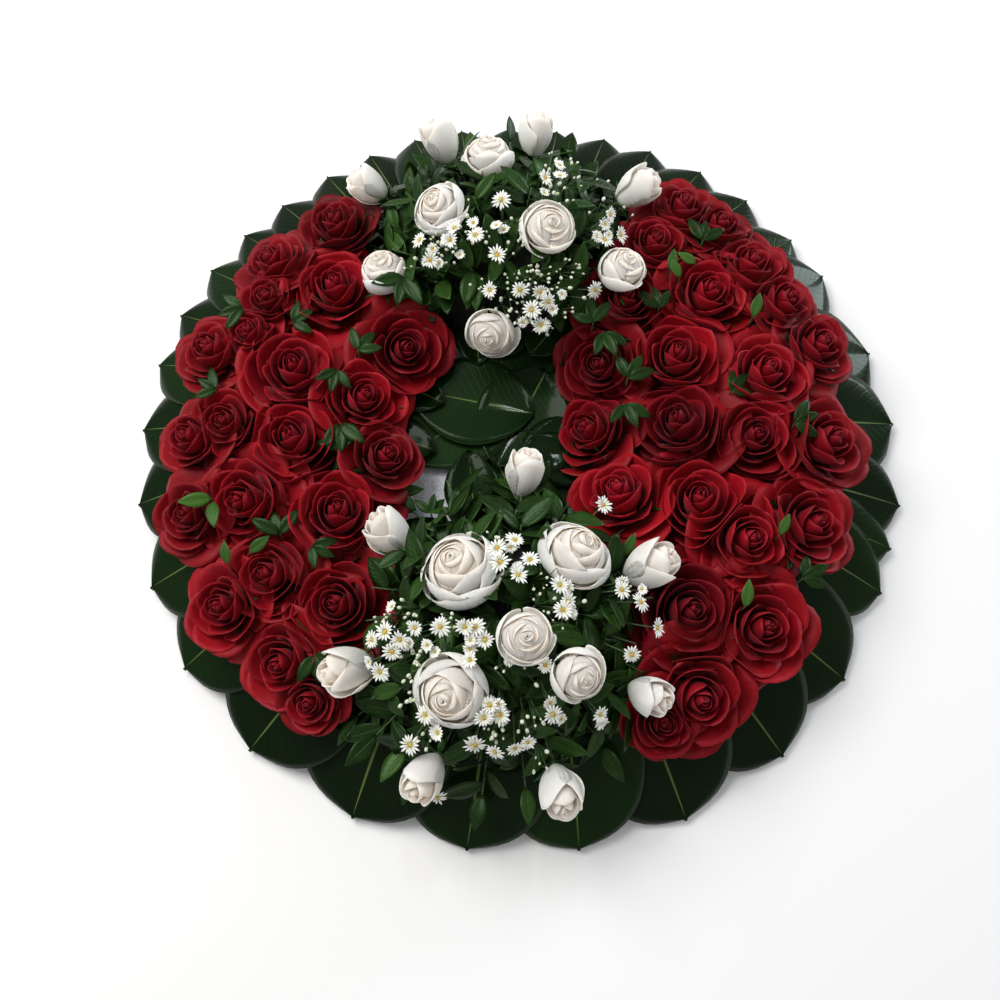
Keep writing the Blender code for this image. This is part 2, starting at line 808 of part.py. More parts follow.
def leaf_fits(samples, blooms, tufts):
    """True where a spray leaf stays clear of every bloom, stem, aster and rim leaf."""
    for sample in samples:
        radius = sample.xy.length
        if sample.z < rim_profile(radius) + 0.014:
            return False
        for bloom in blooms:
            if bloom.holds(sample, 0.0050):
                return False
        for root, middle, heads in tufts:
            if segment_distance(sample, root, middle) < 0.014:
                return False
            if any(segment_distance(sample, root, h) < 0.0075 for h in heads):
                return False
            if any((sample - h).length < ASTER_RADIUS + 0.004 for h in heads):
                return False
    return True


def spray_leaf(root, direction, facing, length, width, collection):
    """A small pointed leaf, folded a little along its midrib."""
    across = direction.cross(facing).normalized()
    upward = across.cross(direction).normalized()
    outline = [(0.0, 0.0), (0.34, -0.92), (0.68, -0.74), (1.0, 0.0), (0.68, 0.74), (0.34, 0.92)]
    bm = bmesh.new()
    upper = []
    lower = []
    for along, spread in outline:
        point = root + direction * length * along + across * spread * width / 2
        point += upward * (abs(spread) * width * 0.16 - length * 0.10 * along**2)
        upper.append(bm.verts.new(point + upward * 0.0005))
        lower.append(bm.verts.new(point - upward * 0.0005))
    for layer, order in ((upper, 1), (lower, -1)):
        for a, b, c in ((0, 1, 2), (0, 2, 3), (0, 3, 4), (0, 4, 5)):
            bm.faces.new((layer[a], layer[b], layer[c])[::order])
    count = len(outline)
    for k in range(count):
        after = (k + 1) % count
        bm.faces.new((upper[k], upper[after], lower[after]))
        bm.faces.new((upper[k], lower[after], lower[k]))
    return object_from(bm, "spray_leaf", collection)


def leaf_with_room(where, number, draw, blooms, tufts, collection):
    """A leaf at the next place of a spiral down the dome, turned to where it has room."""
    centre = spray_centre(where)
    rise = math.asin(0.97 - 0.85 * number / (SPRAY_LEAVES - 1))
    for attempt in range(SPRAY_LEAF_TRIES):
        turn = 2.39996 * number + draw.uniform(-0.3, 0.3)
        flat = Vector((math.cos(turn), math.sin(turn), 0)) * math.cos(rise)
        towards = flat + Vector((0, 0, math.sin(rise)))
        root = on_core(where, centre + towards, 0.004)
        heading = draw.uniform(0, 2 * math.pi)
        side = side_of(towards)
        along = side * math.cos(heading) + towards.cross(side) * math.sin(heading)
        lift = draw.uniform(0.35, 1.0) if attempt < SPRAY_LEAF_TRIES / 2 else 0.3
        direction = (along + towards * lift + flat * 0.2).normalized()
        size = draw.uniform(0.8, 1.1) * (1 - 0.4 * attempt / SPRAY_LEAF_TRIES)
        length = SPRAY_LEAF_LENGTH * size
        width = SPRAY_LEAF_WIDTH * size
        across = direction.cross(towards).normalized() * width / 2
        samples = [root + direction * length * k for k in (0.2, 0.4, 0.6, 0.8, 1.0)]
        samples += [samples[k] + across * sign for k in (1, 2, 3) for sign in (-1, 1)]
        if leaf_fits(samples, blooms, tufts):
            return spray_leaf(root, direction, towards, length, width, collection)
    return None


def make_spray(where, blooms, collection, material):
    """One spray's foliage: the core with leaves standing out wherever there is room."""
    draw = random.Random(7 if where == "top" else 11)
    centre = spray_centre(where)
    tufts = []
    for point, height in ASTER_SPRIGS[where]:
        middle, _, heads = aster_places(where, point, height / 1000)
        tufts.append((on_core(where, middle, STEM_HOLE_DEPTH), middle, heads))
    core = spray_core(where, collection)
    leaves = []
    for k in range(SPRAY_LEAVES):
        leaf = leaf_with_room(where, k, draw, blooms, tufts, collection)
        if leaf:
            leaves.append(leaf)
    combine(core, leaves, "UNION")
    own = [b for b in blooms if b.node.startswith("white_rose_" + where)]
    roots = [(b.stem[0], b.calyx) for b in own]
    roots += [(root, middle) for root, middle, _ in tufts]
    combine(core, [stem_cutter(a, b, collection) for a, b in roots], "DIFFERENCE")
    core.name = f"spray_foliage_{where}"
    return finish(core, material)


def main():
    clear_scene()
    materials = make_materials()
    wreath = make_collection("funeral_wreath")
    red = red_blooms()
    white = white_blooms()
    blooms = red + white
    make_base(red, wreath, materials["foam"])
    make_rim(wreath, materials["big_leaf"])
    make_centre(wreath, materials["big_leaf"])
    make_roses(red, blooms, wreath, materials["red_petal"])
    make_roses(white, blooms, wreath, materials["white_petal"])
    make_asters(wreath, materials["aster"])
    for where in ("top", "bottom"):
        make_spray(where, blooms, wreath, materials["spray_leaf"])


main()
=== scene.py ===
# %% [markdown]
# # Dressing a funeral wreath
# The wreath is a flat foam disc with real flowers pushed into it. A plain solid
# model of it already exists, and this lesson dresses that model: petals, glossy
# leaves, small asters and fine foliage. The solid model is loaded first and never
# moved, so every new piece is placed in the same frame, in metres, with +Z up.

# %% Load the frame
import itertools
import math
import random

import bmesh
import bpy
from mathutils import Matrix, Vector


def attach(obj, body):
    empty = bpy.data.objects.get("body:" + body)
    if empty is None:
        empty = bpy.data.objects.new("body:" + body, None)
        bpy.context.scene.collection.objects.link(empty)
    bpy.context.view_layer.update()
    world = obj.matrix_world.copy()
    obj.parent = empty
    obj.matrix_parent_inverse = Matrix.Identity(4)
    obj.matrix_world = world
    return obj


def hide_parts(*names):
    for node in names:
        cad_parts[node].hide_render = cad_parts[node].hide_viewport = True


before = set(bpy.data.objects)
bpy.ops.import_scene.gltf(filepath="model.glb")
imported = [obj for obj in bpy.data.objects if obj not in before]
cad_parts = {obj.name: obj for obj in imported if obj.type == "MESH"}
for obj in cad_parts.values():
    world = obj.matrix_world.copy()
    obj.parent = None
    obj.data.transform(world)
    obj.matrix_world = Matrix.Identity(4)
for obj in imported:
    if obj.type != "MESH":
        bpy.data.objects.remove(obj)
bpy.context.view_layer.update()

# %% [markdown]
# ## Where the photographer stood
# The photograph was taken from above the wreath's lower edge, looking down at a
# slant. A lens is described by its focal length. Counted in picture points it is
# 1100 for a picture 1000 points wide, and on a 36 mm sensor that is 39.6 mm.

# %% Camera
EYE = Vector((-0.018, -0.408, 1.094))
EYE_TILT = math.radians(18)
FOCAL_POINTS = 1100.0
PICTURE_MIDDLE = 500.0
SENSOR_WIDTH = 36.0

lens = bpy.data.cameras.new("camera")
lens.sensor_width = SENSOR_WIDTH
lens.lens = SENSOR_WIDTH * FOCAL_POINTS / (2 * PICTURE_MIDDLE)
camera = bpy.data.objects.new("camera", lens)
camera.location = EYE
camera.rotation_euler = (EYE_TILT, 0, 0)
bpy.context.scene.collection.objects.link(camera)
bpy.context.scene.camera = camera


def place_at_height(point, height):
    """Where the line of sight through a picture point meets a height."""
    ahead = Vector((0, math.sin(EYE_TILT), -math.cos(EYE_TILT)))
    up = Vector((0, math.cos(EYE_TILT), math.sin(EYE_TILT)))
    across = (point[0] - PICTURE_MIDDLE) / FOCAL_POINTS
    down = (point[1] - PICTURE_MIDDLE) / FOCAL_POINTS
    ray = ahead + Vector((across, 0, 0)) - up * down
    return EYE + ray * ((height - EYE.z) / ray.z)


print("lens", round(lens.lens, 1), "mm")

# %% [markdown]
# ## A pale floor and soft light
# The floor and the lights are a stage and no part of the wreath. Most of the light
# comes evenly from the sky round the scene. One big soft lamp gives the petals their
# shadows, and a cooler one low behind puts the pale gleam on the glossy leaves. Two
# tiny lamps stand where the flat middle leaves mirror them, like spots on a ceiling.

# %% Stage
FLOOR_SIZE = 9.0
FLOOR_DROP = 0.0005
SKY_STRENGTH = 0.46
GLEAM_POINTS = [(520, 374), (503, 434)]
GLEAM_HEIGHT = 0.052
GLEAM_DISTANCE = 1.8

ground = bmesh.new()
bmesh.ops.create_grid(ground, x_segments=1, y_segments=1, size=FLOOR_SIZE / 2)
floor_mesh = bpy.data.meshes.new("floor")
ground.to_mesh(floor_mesh)
ground.free()
floor = bpy.data.objects.new("floor", floor_mesh)
floor.location = (0, 0, -FLOOR_DROP)
bpy.context.scene.collection.objects.link(floor)

floor_finish = bpy.data.materials.new("floor")
floor_finish.use_nodes = True
floor_shader = floor_finish.node_tree.nodes["Principled BSDF"]
floor_shader.inputs["Base Color"].default_value = (0.90, 0.90, 0.90, 1)
floor_shader.inputs["Roughness"].default_value = 0.9
floor_mesh.materials.append(floor_finish)

sky = bpy.data.worlds.new("sky")
sky.use_nodes = True
sky_light = sky.node_tree.nodes["Background"]
sky_light.inputs["Color"].default_value = (1.0, 1.0, 1.0, 1)
sky_light.inputs["Strength"].default_value = SKY_STRENGTH
bpy.context.scene.world = sky
bpy.context.scene.view_settings.view_transform = "Standard"


def add_lamp(name, place, size, power, colour):
    """A square soft lamp that looks at the wreath's middle."""
    light = bpy.data.lights.new(name, "AREA")
    light.size = size
    light.energy = power
    light.color = colour
    lamp = bpy.data.objects.new(name, light)
    lamp.location = place
    lamp.rotation_euler = Vector(place).to_track_quat("Z", "Y").to_euler()
    bpy.context.scene.collection.objects.link(lamp)


add_lamp("soft_key", (-1.25, 0.7, 2.1), 1.5, 58, (1.0, 0.985, 0.97))
add_lamp("cool_rim", (2.45, 1.75, 0.75), 0.9, 40, (0.86, 0.93, 1.0))
for point in GLEAM_POINTS:
    seen = place_at_height(point, GLEAM_HEIGHT)
    to_eye = EYE - seen
    mirrored = Vector((-to_eye.x, -to_eye.y, to_eye.z))
    add_lamp("gleam", seen + mirrored * GLEAM_DISTANCE, 0.07, 1.2, (0.90, 0.95, 1.0))
print("stage and lamps made")

# %% [markdown]
# ## Small tools for shader nodes
# Materials are networks of nodes. These helpers add a node, set its inputs and link
# them, so that each recipe below reads as a few lines. A socket is given either a
# plain value or another node's output.

# %% Node helpers


def add_node(tree, kind, inputs=(), **settings):
    """Adds a node, applies its settings, then fills or links the inputs given."""
    made = tree.nodes.new(kind)
    for key, value in settings.items():
        setattr(made, key, value)
    for socket, value in dict(inputs).items():
        if isinstance(value, bpy.types.NodeSocket):
            tree.links.new(value, made.inputs[socket])
        else:
            made.inputs[socket].default_value = value
    return made


def maths(tree, operation, first, second=0.0):
    """One step of arithmetic on two values, or on one for such steps as ABSOLUTE."""
    return add_node(tree, "ShaderNodeMath", {0: first, 1: second}, operation=operation).outputs[0]


def smooth_step(tree, value, low, high):
    """Rises smoothly from 0 to 1 while the value goes from low to high."""
    inputs = {"Value": value, "From Min": low, "From Max": high}
    kind = "ShaderNodeMapRange"
    return add_node(tree, kind, inputs, interpolation_type="SMOOTHSTEP").outputs["Result"]


def mix_colour(tree, share, first, second, way="MIX"):
    """Two colours in the given share. A Mix node keeps its colours in sockets 6 and 7."""
    inputs = {0: share, 6: first, 7: second}
    return add_node(tree, "ShaderNodeMix", inputs, data_type="RGBA", blend_type=way).outputs[2]


def wire_bump(tree, shader, height, distance, strength):
    """Lets a height pattern tilt the light on a shader's surface."""
    inputs = {"Height": height, "Distance": distance, "Strength": strength}
    bump = add_node(tree, "ShaderNodeBump", inputs)
    tree.links.new(bump.outputs["Normal"], shader.inputs["Normal"])


def new_finish(name, **plain):
    """A Principled material with its plain values set straight on the shader."""
    material = bpy.data.materials.new(name)
    material.use_nodes = True
    shader = material.node_tree.nodes["Principled BSDF"]
    for socket, value in plain.items():
        shader.inputs[socket.replace("_", " ")].default_value = value
    return material, material.node_tree, shader


def new_group(name, inputs, outputs):
    """A node group with named float inputs and outputs, and its two end nodes."""
    group = bpy.data.node_groups.new(name, "ShaderNodeTree")
    for label, value in inputs.items():
        socket = group.interface.new_socket(label, in_out="INPUT", socket_type="NodeSocketFloat")
        socket.default_value = value
    for label in outputs:
        group.interface.new_socket(label, in_out="OUTPUT", socket_type="NodeSocketFloat")
    return group, group.nodes.new("NodeGroupInput"), group.nodes.new("NodeGroupOutput")


def use_group(tree, group, **values):
    """Places a group in a material with its own values and gives its outputs."""
    node = tree.nodes.new("ShaderNodeGroup")
    node.node_tree = group
    for label, value in values.items():
        node.inputs[label.replace("_", " ")].default_value = value
    return node.outputs


print("node helpers ready")

# %% [markdown]
# ## Ribs and veins, shared by all leaves
# Every leaf has a pale midrib, side veins that slant towards the tip and a thin pale
# edge. They are one node group, because three leaf finishes use them. The group reads
# the blade's own UV map, which runs 0 to 1 across the blade and 0 to 1 from its base
# to its tip.

# %% Leaf markings
leaf_marks, marks_in, marks_out = new_group(
    "leaf_markings",
    {"Rib Width": 0.05, "Side Veins": 9.0, "Vein Width": 0.2},
    ["Rib", "Veins", "Edge", "Height"],
)
blade_map = add_node(leaf_marks, "ShaderNodeUVMap").outputs["UV"]
blade_axes = add_node(leaf_marks, "ShaderNodeSeparateXYZ", {0: blade_map})
off_rib = maths(leaf_marks, "ABSOLUTE", maths(leaf_marks, "SUBTRACT", blade_axes.outputs["X"], 0.5))
off_rib = maths(leaf_marks, "MULTIPLY", off_rib, 2.0)
taper = maths(leaf_marks, "SUBTRACT", 1.25, blade_axes.outputs["Y"])
rib_width = maths(leaf_marks, "MULTIPLY", marks_in.outputs["Rib Width"], taper)
rib = maths(leaf_marks, "SUBTRACT", 1.0, smooth_step(leaf_marks, off_rib, 0.0, rib_width))
slant = maths(leaf_marks, "MULTIPLY", off_rib, 0.28)
vein_phase = maths(leaf_marks, "SUBTRACT", blade_axes.outputs["Y"], slant)
vein_phase = maths(leaf_marks, "MULTIPLY", vein_phase, marks_in.outputs["Side Veins"])
to_vein = maths(leaf_marks, "SUBTRACT", maths(leaf_marks, "FRACT", vein_phase), 0.5)
to_vein = maths(leaf_marks, "ABSOLUTE", to_vein)
veins = smooth_step(leaf_marks, to_vein, marks_in.outputs["Vein Width"], 0.0)
edge = smooth_step(leaf_marks, off_rib, 0.955, 1.0)
swell = maths(leaf_marks, "MULTIPLY", veins, -0.16)
relief = maths(leaf_marks, "SUBTRACT", swell, rib)
for label, value in (("Rib", rib), ("Veins", veins), ("Edge", edge), ("Height", relief)):
    leaf_marks.links.new(value, marks_out.inputs[label])
print("leaf markings:", len(leaf_marks.nodes), "nodes")

# %% [markdown]
# ## Streaks and lips, shared by all petals
# Every petal changes its colour from its claw to its lip and has fine lengthwise
# streaks. The streaks are noise, stretched along the petal by counting many units
# across it and one along it. Each petal's own tint shifts the noise sideways, so that
# no two petals have the same streaks.

# %% Petal markings
PETAL_STREAKS = 26.0
TINT_SHIFT = 40.0

petal_marks, petal_in, petal_out = new_group(
    "petal_markings",
    {"Streaks": PETAL_STREAKS},
    ["Rise", "Lip", "Streak", "Shade"],
)
petal_map = add_node(petal_marks, "ShaderNodeUVMap").outputs["UV"]
petal_axes = add_node(petal_marks, "ShaderNodeSeparateXYZ", {0: petal_map})
across_petal = maths(petal_marks, "MULTIPLY", petal_axes.outputs["X"], petal_in.outputs["Streaks"])
own_tint = add_node(petal_marks, "ShaderNodeAttribute", attribute_name="tint").outputs["Fac"]
shift = maths(petal_marks, "MULTIPLY", own_tint, TINT_SHIFT)
shifted = maths(petal_marks, "ADD", across_petal, shift)
up_petal = petal_axes.outputs["Y"]
streak_place = add_node(petal_marks, "ShaderNodeCombineXYZ", {"X": shifted, "Y": up_petal})
streak = add_node(
    petal_marks,
    "ShaderNodeTexNoise",
    {"Vector": streak_place.outputs[0], "Scale": 1.0, "Detail": 3.0},
).outputs["Fac"]
lip = smooth_step(petal_marks, up_petal, 0.86, 1.0)
for label, value in (("Rise", up_petal), ("Lip", lip), ("Streak", streak), ("Shade", own_tint)):
    petal_marks.links.new(value, petal_out.inputs[label])
print("petal markings:", len(petal_marks.nodes), "nodes")

# %% [markdown]
# ## Leaf finishes
# The big leaves are thick and waxed, nearly black green with a pale rib. A clear coat
# over a slightly rough base gives the double gleam of a waxy leaf. The small foliage
# is less glossy. A noise on Object coordinates keeps leaves from looking alike. The
# last four numbers of each finish are its roughness, the weight and the roughness of
# its coat, and the strength of its shine.

# %% Leaf materials
LEAF_SHINE = (0.55, 1.0, 0.45, 1)
VEIN_SHARE = 0.16
RIB_SHARE = 0.85
EDGE_SHARE = 0.10
SMALL_LEAF_MARKS = {"Rib_Width": 0.12, "Side_Veins": 7.0, "Vein_Width": 0.22}


def leaf_finish(name, dark, light, rib_colour, marks, grain, gloss):
    """A waxy leaf: mottled green with its rib, veins and edge drawn by the group."""
    roughness, coat, coat_roughness, shine = gloss
    material, tree, shader = new_finish(name, Roughness=roughness, Coat_Weight=coat)
    shader.inputs["Coat Roughness"].default_value = coat_roughness
    shader.inputs["Specular IOR Level"].default_value = shine
    shader.inputs["Specular Tint"].default_value = LEAF_SHINE
    drawn = use_group(tree, leaf_marks, **marks)
    own_place = add_node(tree, "ShaderNodeTexCoord").outputs["Object"]
    patch = add_node(tree, "ShaderNodeTexNoise", {"Vector": own_place, "Scale": grain, "Detail": 4.0})
    tint = add_node(tree, "ShaderNodeAttribute", attribute_name="tint").outputs["Fac"]
    share = maths(tree, "ADD", maths(tree, "MULTIPLY", patch.outputs["Fac"], 0.6), -0.12)
    share = maths(tree, "ADD", share, maths(tree, "MULTIPLY", maths(tree, "POWER", tint, 3.0), 0.8))
    colour = mix_colour(tree, share, dark, light)
    colour = mix_colour(tree, maths(tree, "MULTIPLY", drawn["Veins"], VEIN_SHARE), colour, light)
    colour = mix_colour(tree, maths(tree, "MULTIPLY", drawn["Rib"], RIB_SHARE), colour, rib_colour)
    colour = mix_colour(tree, maths(tree, "MULTIPLY", drawn["Edge"], EDGE_SHARE), colour, rib_colour)
    tree.links.new(colour, shader.inputs["Base Color"])
    wire_bump(tree, shader, drawn["Height"], 0.0009, 0.7)
    return material


big_leaf_finish = leaf_finish(
    "waxed_big_leaf",
    (0.0012, 0.0050, 0.0010, 1),
    (0.0050, 0.0180, 0.0030, 1),
    (0.130, 0.190, 0.050, 1),
    {"Rib_Width": 0.040, "Side_Veins": 15.0, "Vein_Width": 0.16},
    26.0,
    (0.30, 0.14, 0.07, 0.06),
)
small_leaf_finish = leaf_finish(
    "small_dark_leaf",
    (0.0018, 0.0075, 0.0016, 1),
    (0.0300, 0.0760, 0.0120, 1),
    (0.030, 0.070, 0.016, 1),
    SMALL_LEAF_MARKS,
    60.0,
    (0.34, 0.07, 0.12, 0.18),
)
bright_leaf_finish = leaf_finish(
    "young_bright_leaf",
    (0.022, 0.060, 0.010, 1),
    (0.050, 0.125, 0.018, 1),
    (0.090, 0.190, 0.040, 1),
    SMALL_LEAF_MARKS,
    60.0,
    (0.45, 0.08, 0.30, 0.25),
)
print("leaf finishes made")

# %% [markdown]
# ## Petal finishes
# Red rose petals look like velvet: deep crimson with a soft sheen on the lips. Their
# claws are almost black, which is painted shade in the folds, and towards the heart
# they are darker, painted shade in the hollow of the head, and more magenta, which
# is their own colour. White ones are cream, warmer towards the heart and greener at
# the claw. A little subsurface light softens the white petals.

# %% Petal materials
HEART_SHARE = 0.8
LIP_SHARE = 0.22
STREAK_SHARE = 0.16


def petal_finish(name, claw, body, lip_colour, heart, tone_range, plain):
    """A rose petal, coloured from claw to lip; towards the heart white turns warmer, red darker as
    painted shade.
    """
    material, tree, shader = new_finish(name, **plain)
    drawn = use_group(tree, petal_marks, Streaks=PETAL_STREAKS)
    # For red petals the dark claw colour is painted shade in the folds, and the darker heart colour is
    # painted shade in the head's hollow.
    rise = smooth_step(tree, drawn["Rise"], 0.15, 0.75)
    colour = mix_colour(tree, rise, claw, body)
    inward = add_node(tree, "ShaderNodeAttribute", attribute_name="heart").outputs["Fac"]
    colour = mix_colour(tree, maths(tree, "MULTIPLY", inward, HEART_SHARE), colour, heart)
    colour = mix_colour(tree, maths(tree, "MULTIPLY", drawn["Lip"], LIP_SHARE), colour, lip_colour)
    tone = maths(tree, "MULTIPLY", drawn["Shade"], tone_range[1] - tone_range[0])
    tone = maths(tree, "ADD", tone, tone_range[0])
    tone = maths(tree, "ADD", tone, maths(tree, "MULTIPLY", drawn["Streak"], STREAK_SHARE))
    shade = add_node(tree, "ShaderNodeCombineColor", {0: tone, 1: tone, 2: tone}).outputs[0]
    colour = mix_colour(tree, 1.0, colour, shade, "MULTIPLY")
    tree.links.new(colour, shader.inputs["Base Color"])
    wire_bump(tree, shader, drawn["Streak"], 0.0005, 0.5)
    return material


# The near-black claw and the darker heart colour below are painted shade; the heart's magenta is the
# rose's own.
red_petal_finish = petal_finish(
    "velvet_red_petal",
    (0.070, 0.0006, 0.0020, 1),
    (0.290, 0.0030, 0.0085, 1),
    (0.330, 0.0060, 0.0150, 1),
    (0.170, 0.0015, 0.0105, 1),
    (0.40, 1.20),
    {"Roughness": 0.55, "Sheen_Weight": 0.12, "Sheen_Roughness": 0.4, "Specular_IOR_Level": 0.18},
)
velvet_shader = red_petal_finish.node_tree.nodes["Principled BSDF"]
velvet_shader.inputs["Sheen Tint"].default_value = (1.0, 0.35, 0.40, 1)
white_petal_finish = petal_finish(
    "cream_white_petal",
    (0.900, 0.880, 0.730, 1),
    (0.930, 0.898, 0.800, 1),
    (0.930, 0.900, 0.815, 1),
    (0.930, 0.705, 0.545, 1),
    (0.80, 0.95),
    {
        "Roughness": 0.60, "Specular_IOR_Level": 0.2, "Subsurface_Weight": 0.6,
        "Subsurface_Scale": 0.006, "Subsurface_Radius": (1.0, 0.85, 0.70),
    },
)
print("petal finishes made")

# %% [markdown]
# ## Finishes of the small parts
# Aster rays are thin and white, and their eyes are a cushion of tiny yellow florets,
# which a Voronoi pattern imitates. Stalks and sepals are plain matt green with a
# little mottling. The foam is white, made of pressed beads.

# %% Small materials


def mottled_finish(name, first, second, scale, bump_depth, roughness):
    """A rough surface of two close colours in rounded cells, like beads or florets."""
    material, tree, shader = new_finish(name, Roughness=roughness)
    own_place = add_node(tree, "ShaderNodeTexCoord").outputs["Object"]
    cells = add_node(tree, "ShaderNodeTexVoronoi", {"Vector": own_place, "Scale": scale})
    near = smooth_step(tree, cells.outputs["Distance"], 0.1, 0.8)
    tree.links.new(mix_colour(tree, near, first, second), shader.inputs["Base Color"])
    domes = maths(tree, "SUBTRACT", 1.0, cells.outputs["Distance"])
    wire_bump(tree, shader, domes, bump_depth, 0.8)
    return material


foam_finish = mottled_finish(
    "foam_beads", (0.80, 0.81, 0.84, 1), (0.62, 0.63, 0.68, 1), 380.0, 0.0006, 0.85
)
eye_finish = mottled_finish(
    "aster_eye", (0.80, 0.52, 0.06, 1), (0.42, 0.24, 0.02, 1), 900.0, 0.0005, 0.8
)
stalk_finish = mottled_finish(
    "green_stalk", (0.050, 0.110, 0.030, 1), (0.022, 0.055, 0.014, 1), 240.0, 0.0002, 0.6
)
# The packed stems are near-black green, far darker than the stalks: painted shade deep inside a spray.
dark_finish = mottled_finish(
    "packed_stems_painted_shade", (0.0045, 0.0100, 0.0035, 1), (0.0020, 0.0040, 0.0015, 1), 160.0, 0.0030, 0.8
)
bud_finish = mottled_finish(
    "aster_bud", (0.860, 0.870, 0.800, 1), (0.560, 0.620, 0.400, 1), 420.0, 0.0002, 0.6
)
ray_finish = petal_finish(
    "aster_ray",
    (0.780, 0.800, 0.620, 1),
    (0.880, 0.880, 0.860, 1),
    (0.900, 0.900, 0.900, 1),
    (0.880, 0.880, 0.860, 1),
    (0.86, 1.0),
    {"Roughness": 0.6},
)
foam_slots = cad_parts["foam_base"].data.materials
foam_slots.clear()
foam_slots.append(foam_finish)
print("small finishes made")

# %% [markdown]
# ## From a flat grid to a blade
# Leaves and petals all start as one flat grid, which bmesh can make with its UV map.
# Each point of the grid is then moved to its place on the blade. A blade gets its
# thickness from a Solidify modifier, which also closes its edges.

# %% Blade helpers
PETAL_THICKNESS = 0.0005
LEAF_THICKNESS = 0.0006
BIG_LEAF_THICKNESS = 0.0012


def new_blades():
    """An empty bmesh with a UV map and the point values that the finishes read."""
    bm = bmesh.new()
    bm.loops.layers.uv.new("UVMap")
    bm.verts.layers.float.new("tint")
    bm.verts.layers.float.new("heart")
    return bm


def add_blade(bm, across, along, tint, shape, heart=0.0):
    """Adds a grid and lets shape(u, t) place each point: u is -1 to 1, t is 0 to 1."""
    made = bmesh.ops.create_grid(bm, x_segments=across, y_segments=along, size=0.5, calc_uvs=True)
    tint_layer = bm.verts.layers.float["tint"]
    heart_layer = bm.verts.layers.float["heart"]
    for vert in made["verts"]:
        vert.co = shape(vert.co.x * 2, vert.co.y + 0.5)
        vert[tint_layer] = tint
        vert[heart_layer] = heart


def finish_piece(bm, name, material, nodes=(), thickness=0.0):
    """Makes an object of a bmesh, gives it its finish, and ties it to the solid model."""
    mesh = bpy.data.meshes.new(name)
    bm.to_mesh(mesh)
    bm.free()
    mesh.shade_smooth()
    mesh.materials.append(material)
    piece = bpy.data.objects.new(name, mesh)
    bpy.context.scene.collection.objects.link(piece)
    if thickness:
        wall = piece.modifiers.new("thickness", "SOLIDIFY")
        wall.thickness = thickness
        wall.offset = 0
    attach(piece, "root")
    if nodes:
        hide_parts(*nodes)
    return piece


def side_of(axis):
    """A direction square to the axis, for turned shapes to start from."""
    helper = Vector((1, 0, 0)) if abs(axis.x) < 0.8 else Vector((0, 1, 0))
    return axis.cross(helper).normalized()


def add_rod(bm, start, end, first, last, sides=5):
    """A closed tapered rod between two places."""
    line = end - start
    turned = line.to_track_quat("Z", "Y").to_matrix().to_4x4()
    middle = Matrix.Translation((start + end) / 2)
    bmesh.ops.create_cone(
        bm,
        cap_ends=True,
        segments=sides,
        radius1=first,
        radius2=last,
        depth=line.length,
        matrix=middle @ turned,
    )


print("blade helpers ready")

# %% [markdown]
# ## The skirt of big leaves
# Thirty-three leathery leaves are pinned round the foam so that only their rounded
# ends show, lapping one over the next like tiles. Each is a long grid whose width
# follows a rounded outline, and those on the right and lower sides end in a small
# drip tip. It lies flat on the foam, then bends down towards the ground, and its two
# halves rise a little from the rib.

# %% Skirt leaves
WREATH_RADIUS = 0.400
BASE_HEIGHT = 0.045
AIR = 0.0004
RIM_SPRIGS = 9
RIM_ROOT_RADIUS = 0.262
RIM_BEND_RADIUS = 0.286
RIM_TIP_HEIGHT = 0.011
RIM_TWIST = math.radians(4.0)
RIM_LIFT = 0.0044
RIM_OVERLAP = 1.18
RIM_SPARE_WIDTH = 0.012
RIM_LOW_REACH = 0.010
RIM_START_RADIUS = 0.195
RIM_DRIP_SIZE = 0.085
RIM_BOW = 0.004
RIM_CUP = 0.09
RIM_CURL = 0.012
RIM_RIPPLE = 0.0008
LEAST_RIM_HEIGHT = 0.004
RIM_SEED = 3
ANY_PHASE = 6.28
RIM_HEADINGS = [
    -9, 4, 16, 31, 39, 49, 58, 67, 75, 83, 91, 99, 107, 115, 123, 132, 140,
    148, 157, 166, 177, 189, 202, 215, 230, 247, 263, 278, 293, 309, 323, 337, 344,
]


def rim_profile(radius):
    """Height of a skirt leaf: flat on the foam, then falling to its tip."""
    level = BASE_HEIGHT + AIR + RIM_LIFT
    if radius < RIM_BEND_RADIUS:
        return level
    share = (radius - RIM_BEND_RADIUS) / (WREATH_RADIUS - RIM_BEND_RADIUS)
    return level - (level - RIM_TIP_HEIGHT) * share ** 1.35


def rim_width(i):
    """A skirt leaf's width, from the room between its two neighbours."""
    count = len(RIM_HEADINGS)
    after = RIM_HEADINGS[(i + 1) % count] + (360 if i == count - 1 else 0)
    before = RIM_HEADINGS[i - 1] - (360 if i == 0 else 0)
    return WREATH_RADIUS * math.radians(after - before) / 2 * RIM_OVERLAP + RIM_SPARE_WIDTH


def rim_half_width(t, drip_size):
    """The outline of a skirt leaf as a share of its widest half, with its drip tip."""
    rounded = max(0.0, 1 - abs(2 * min(t / 0.985, 1.0) - 1) ** 4.0) ** 0.54
    drip = drip_size * min(1.0, max(0.0, (1 - t) / 0.05)) ** 0.7
    return max(rounded, drip, 0.012)


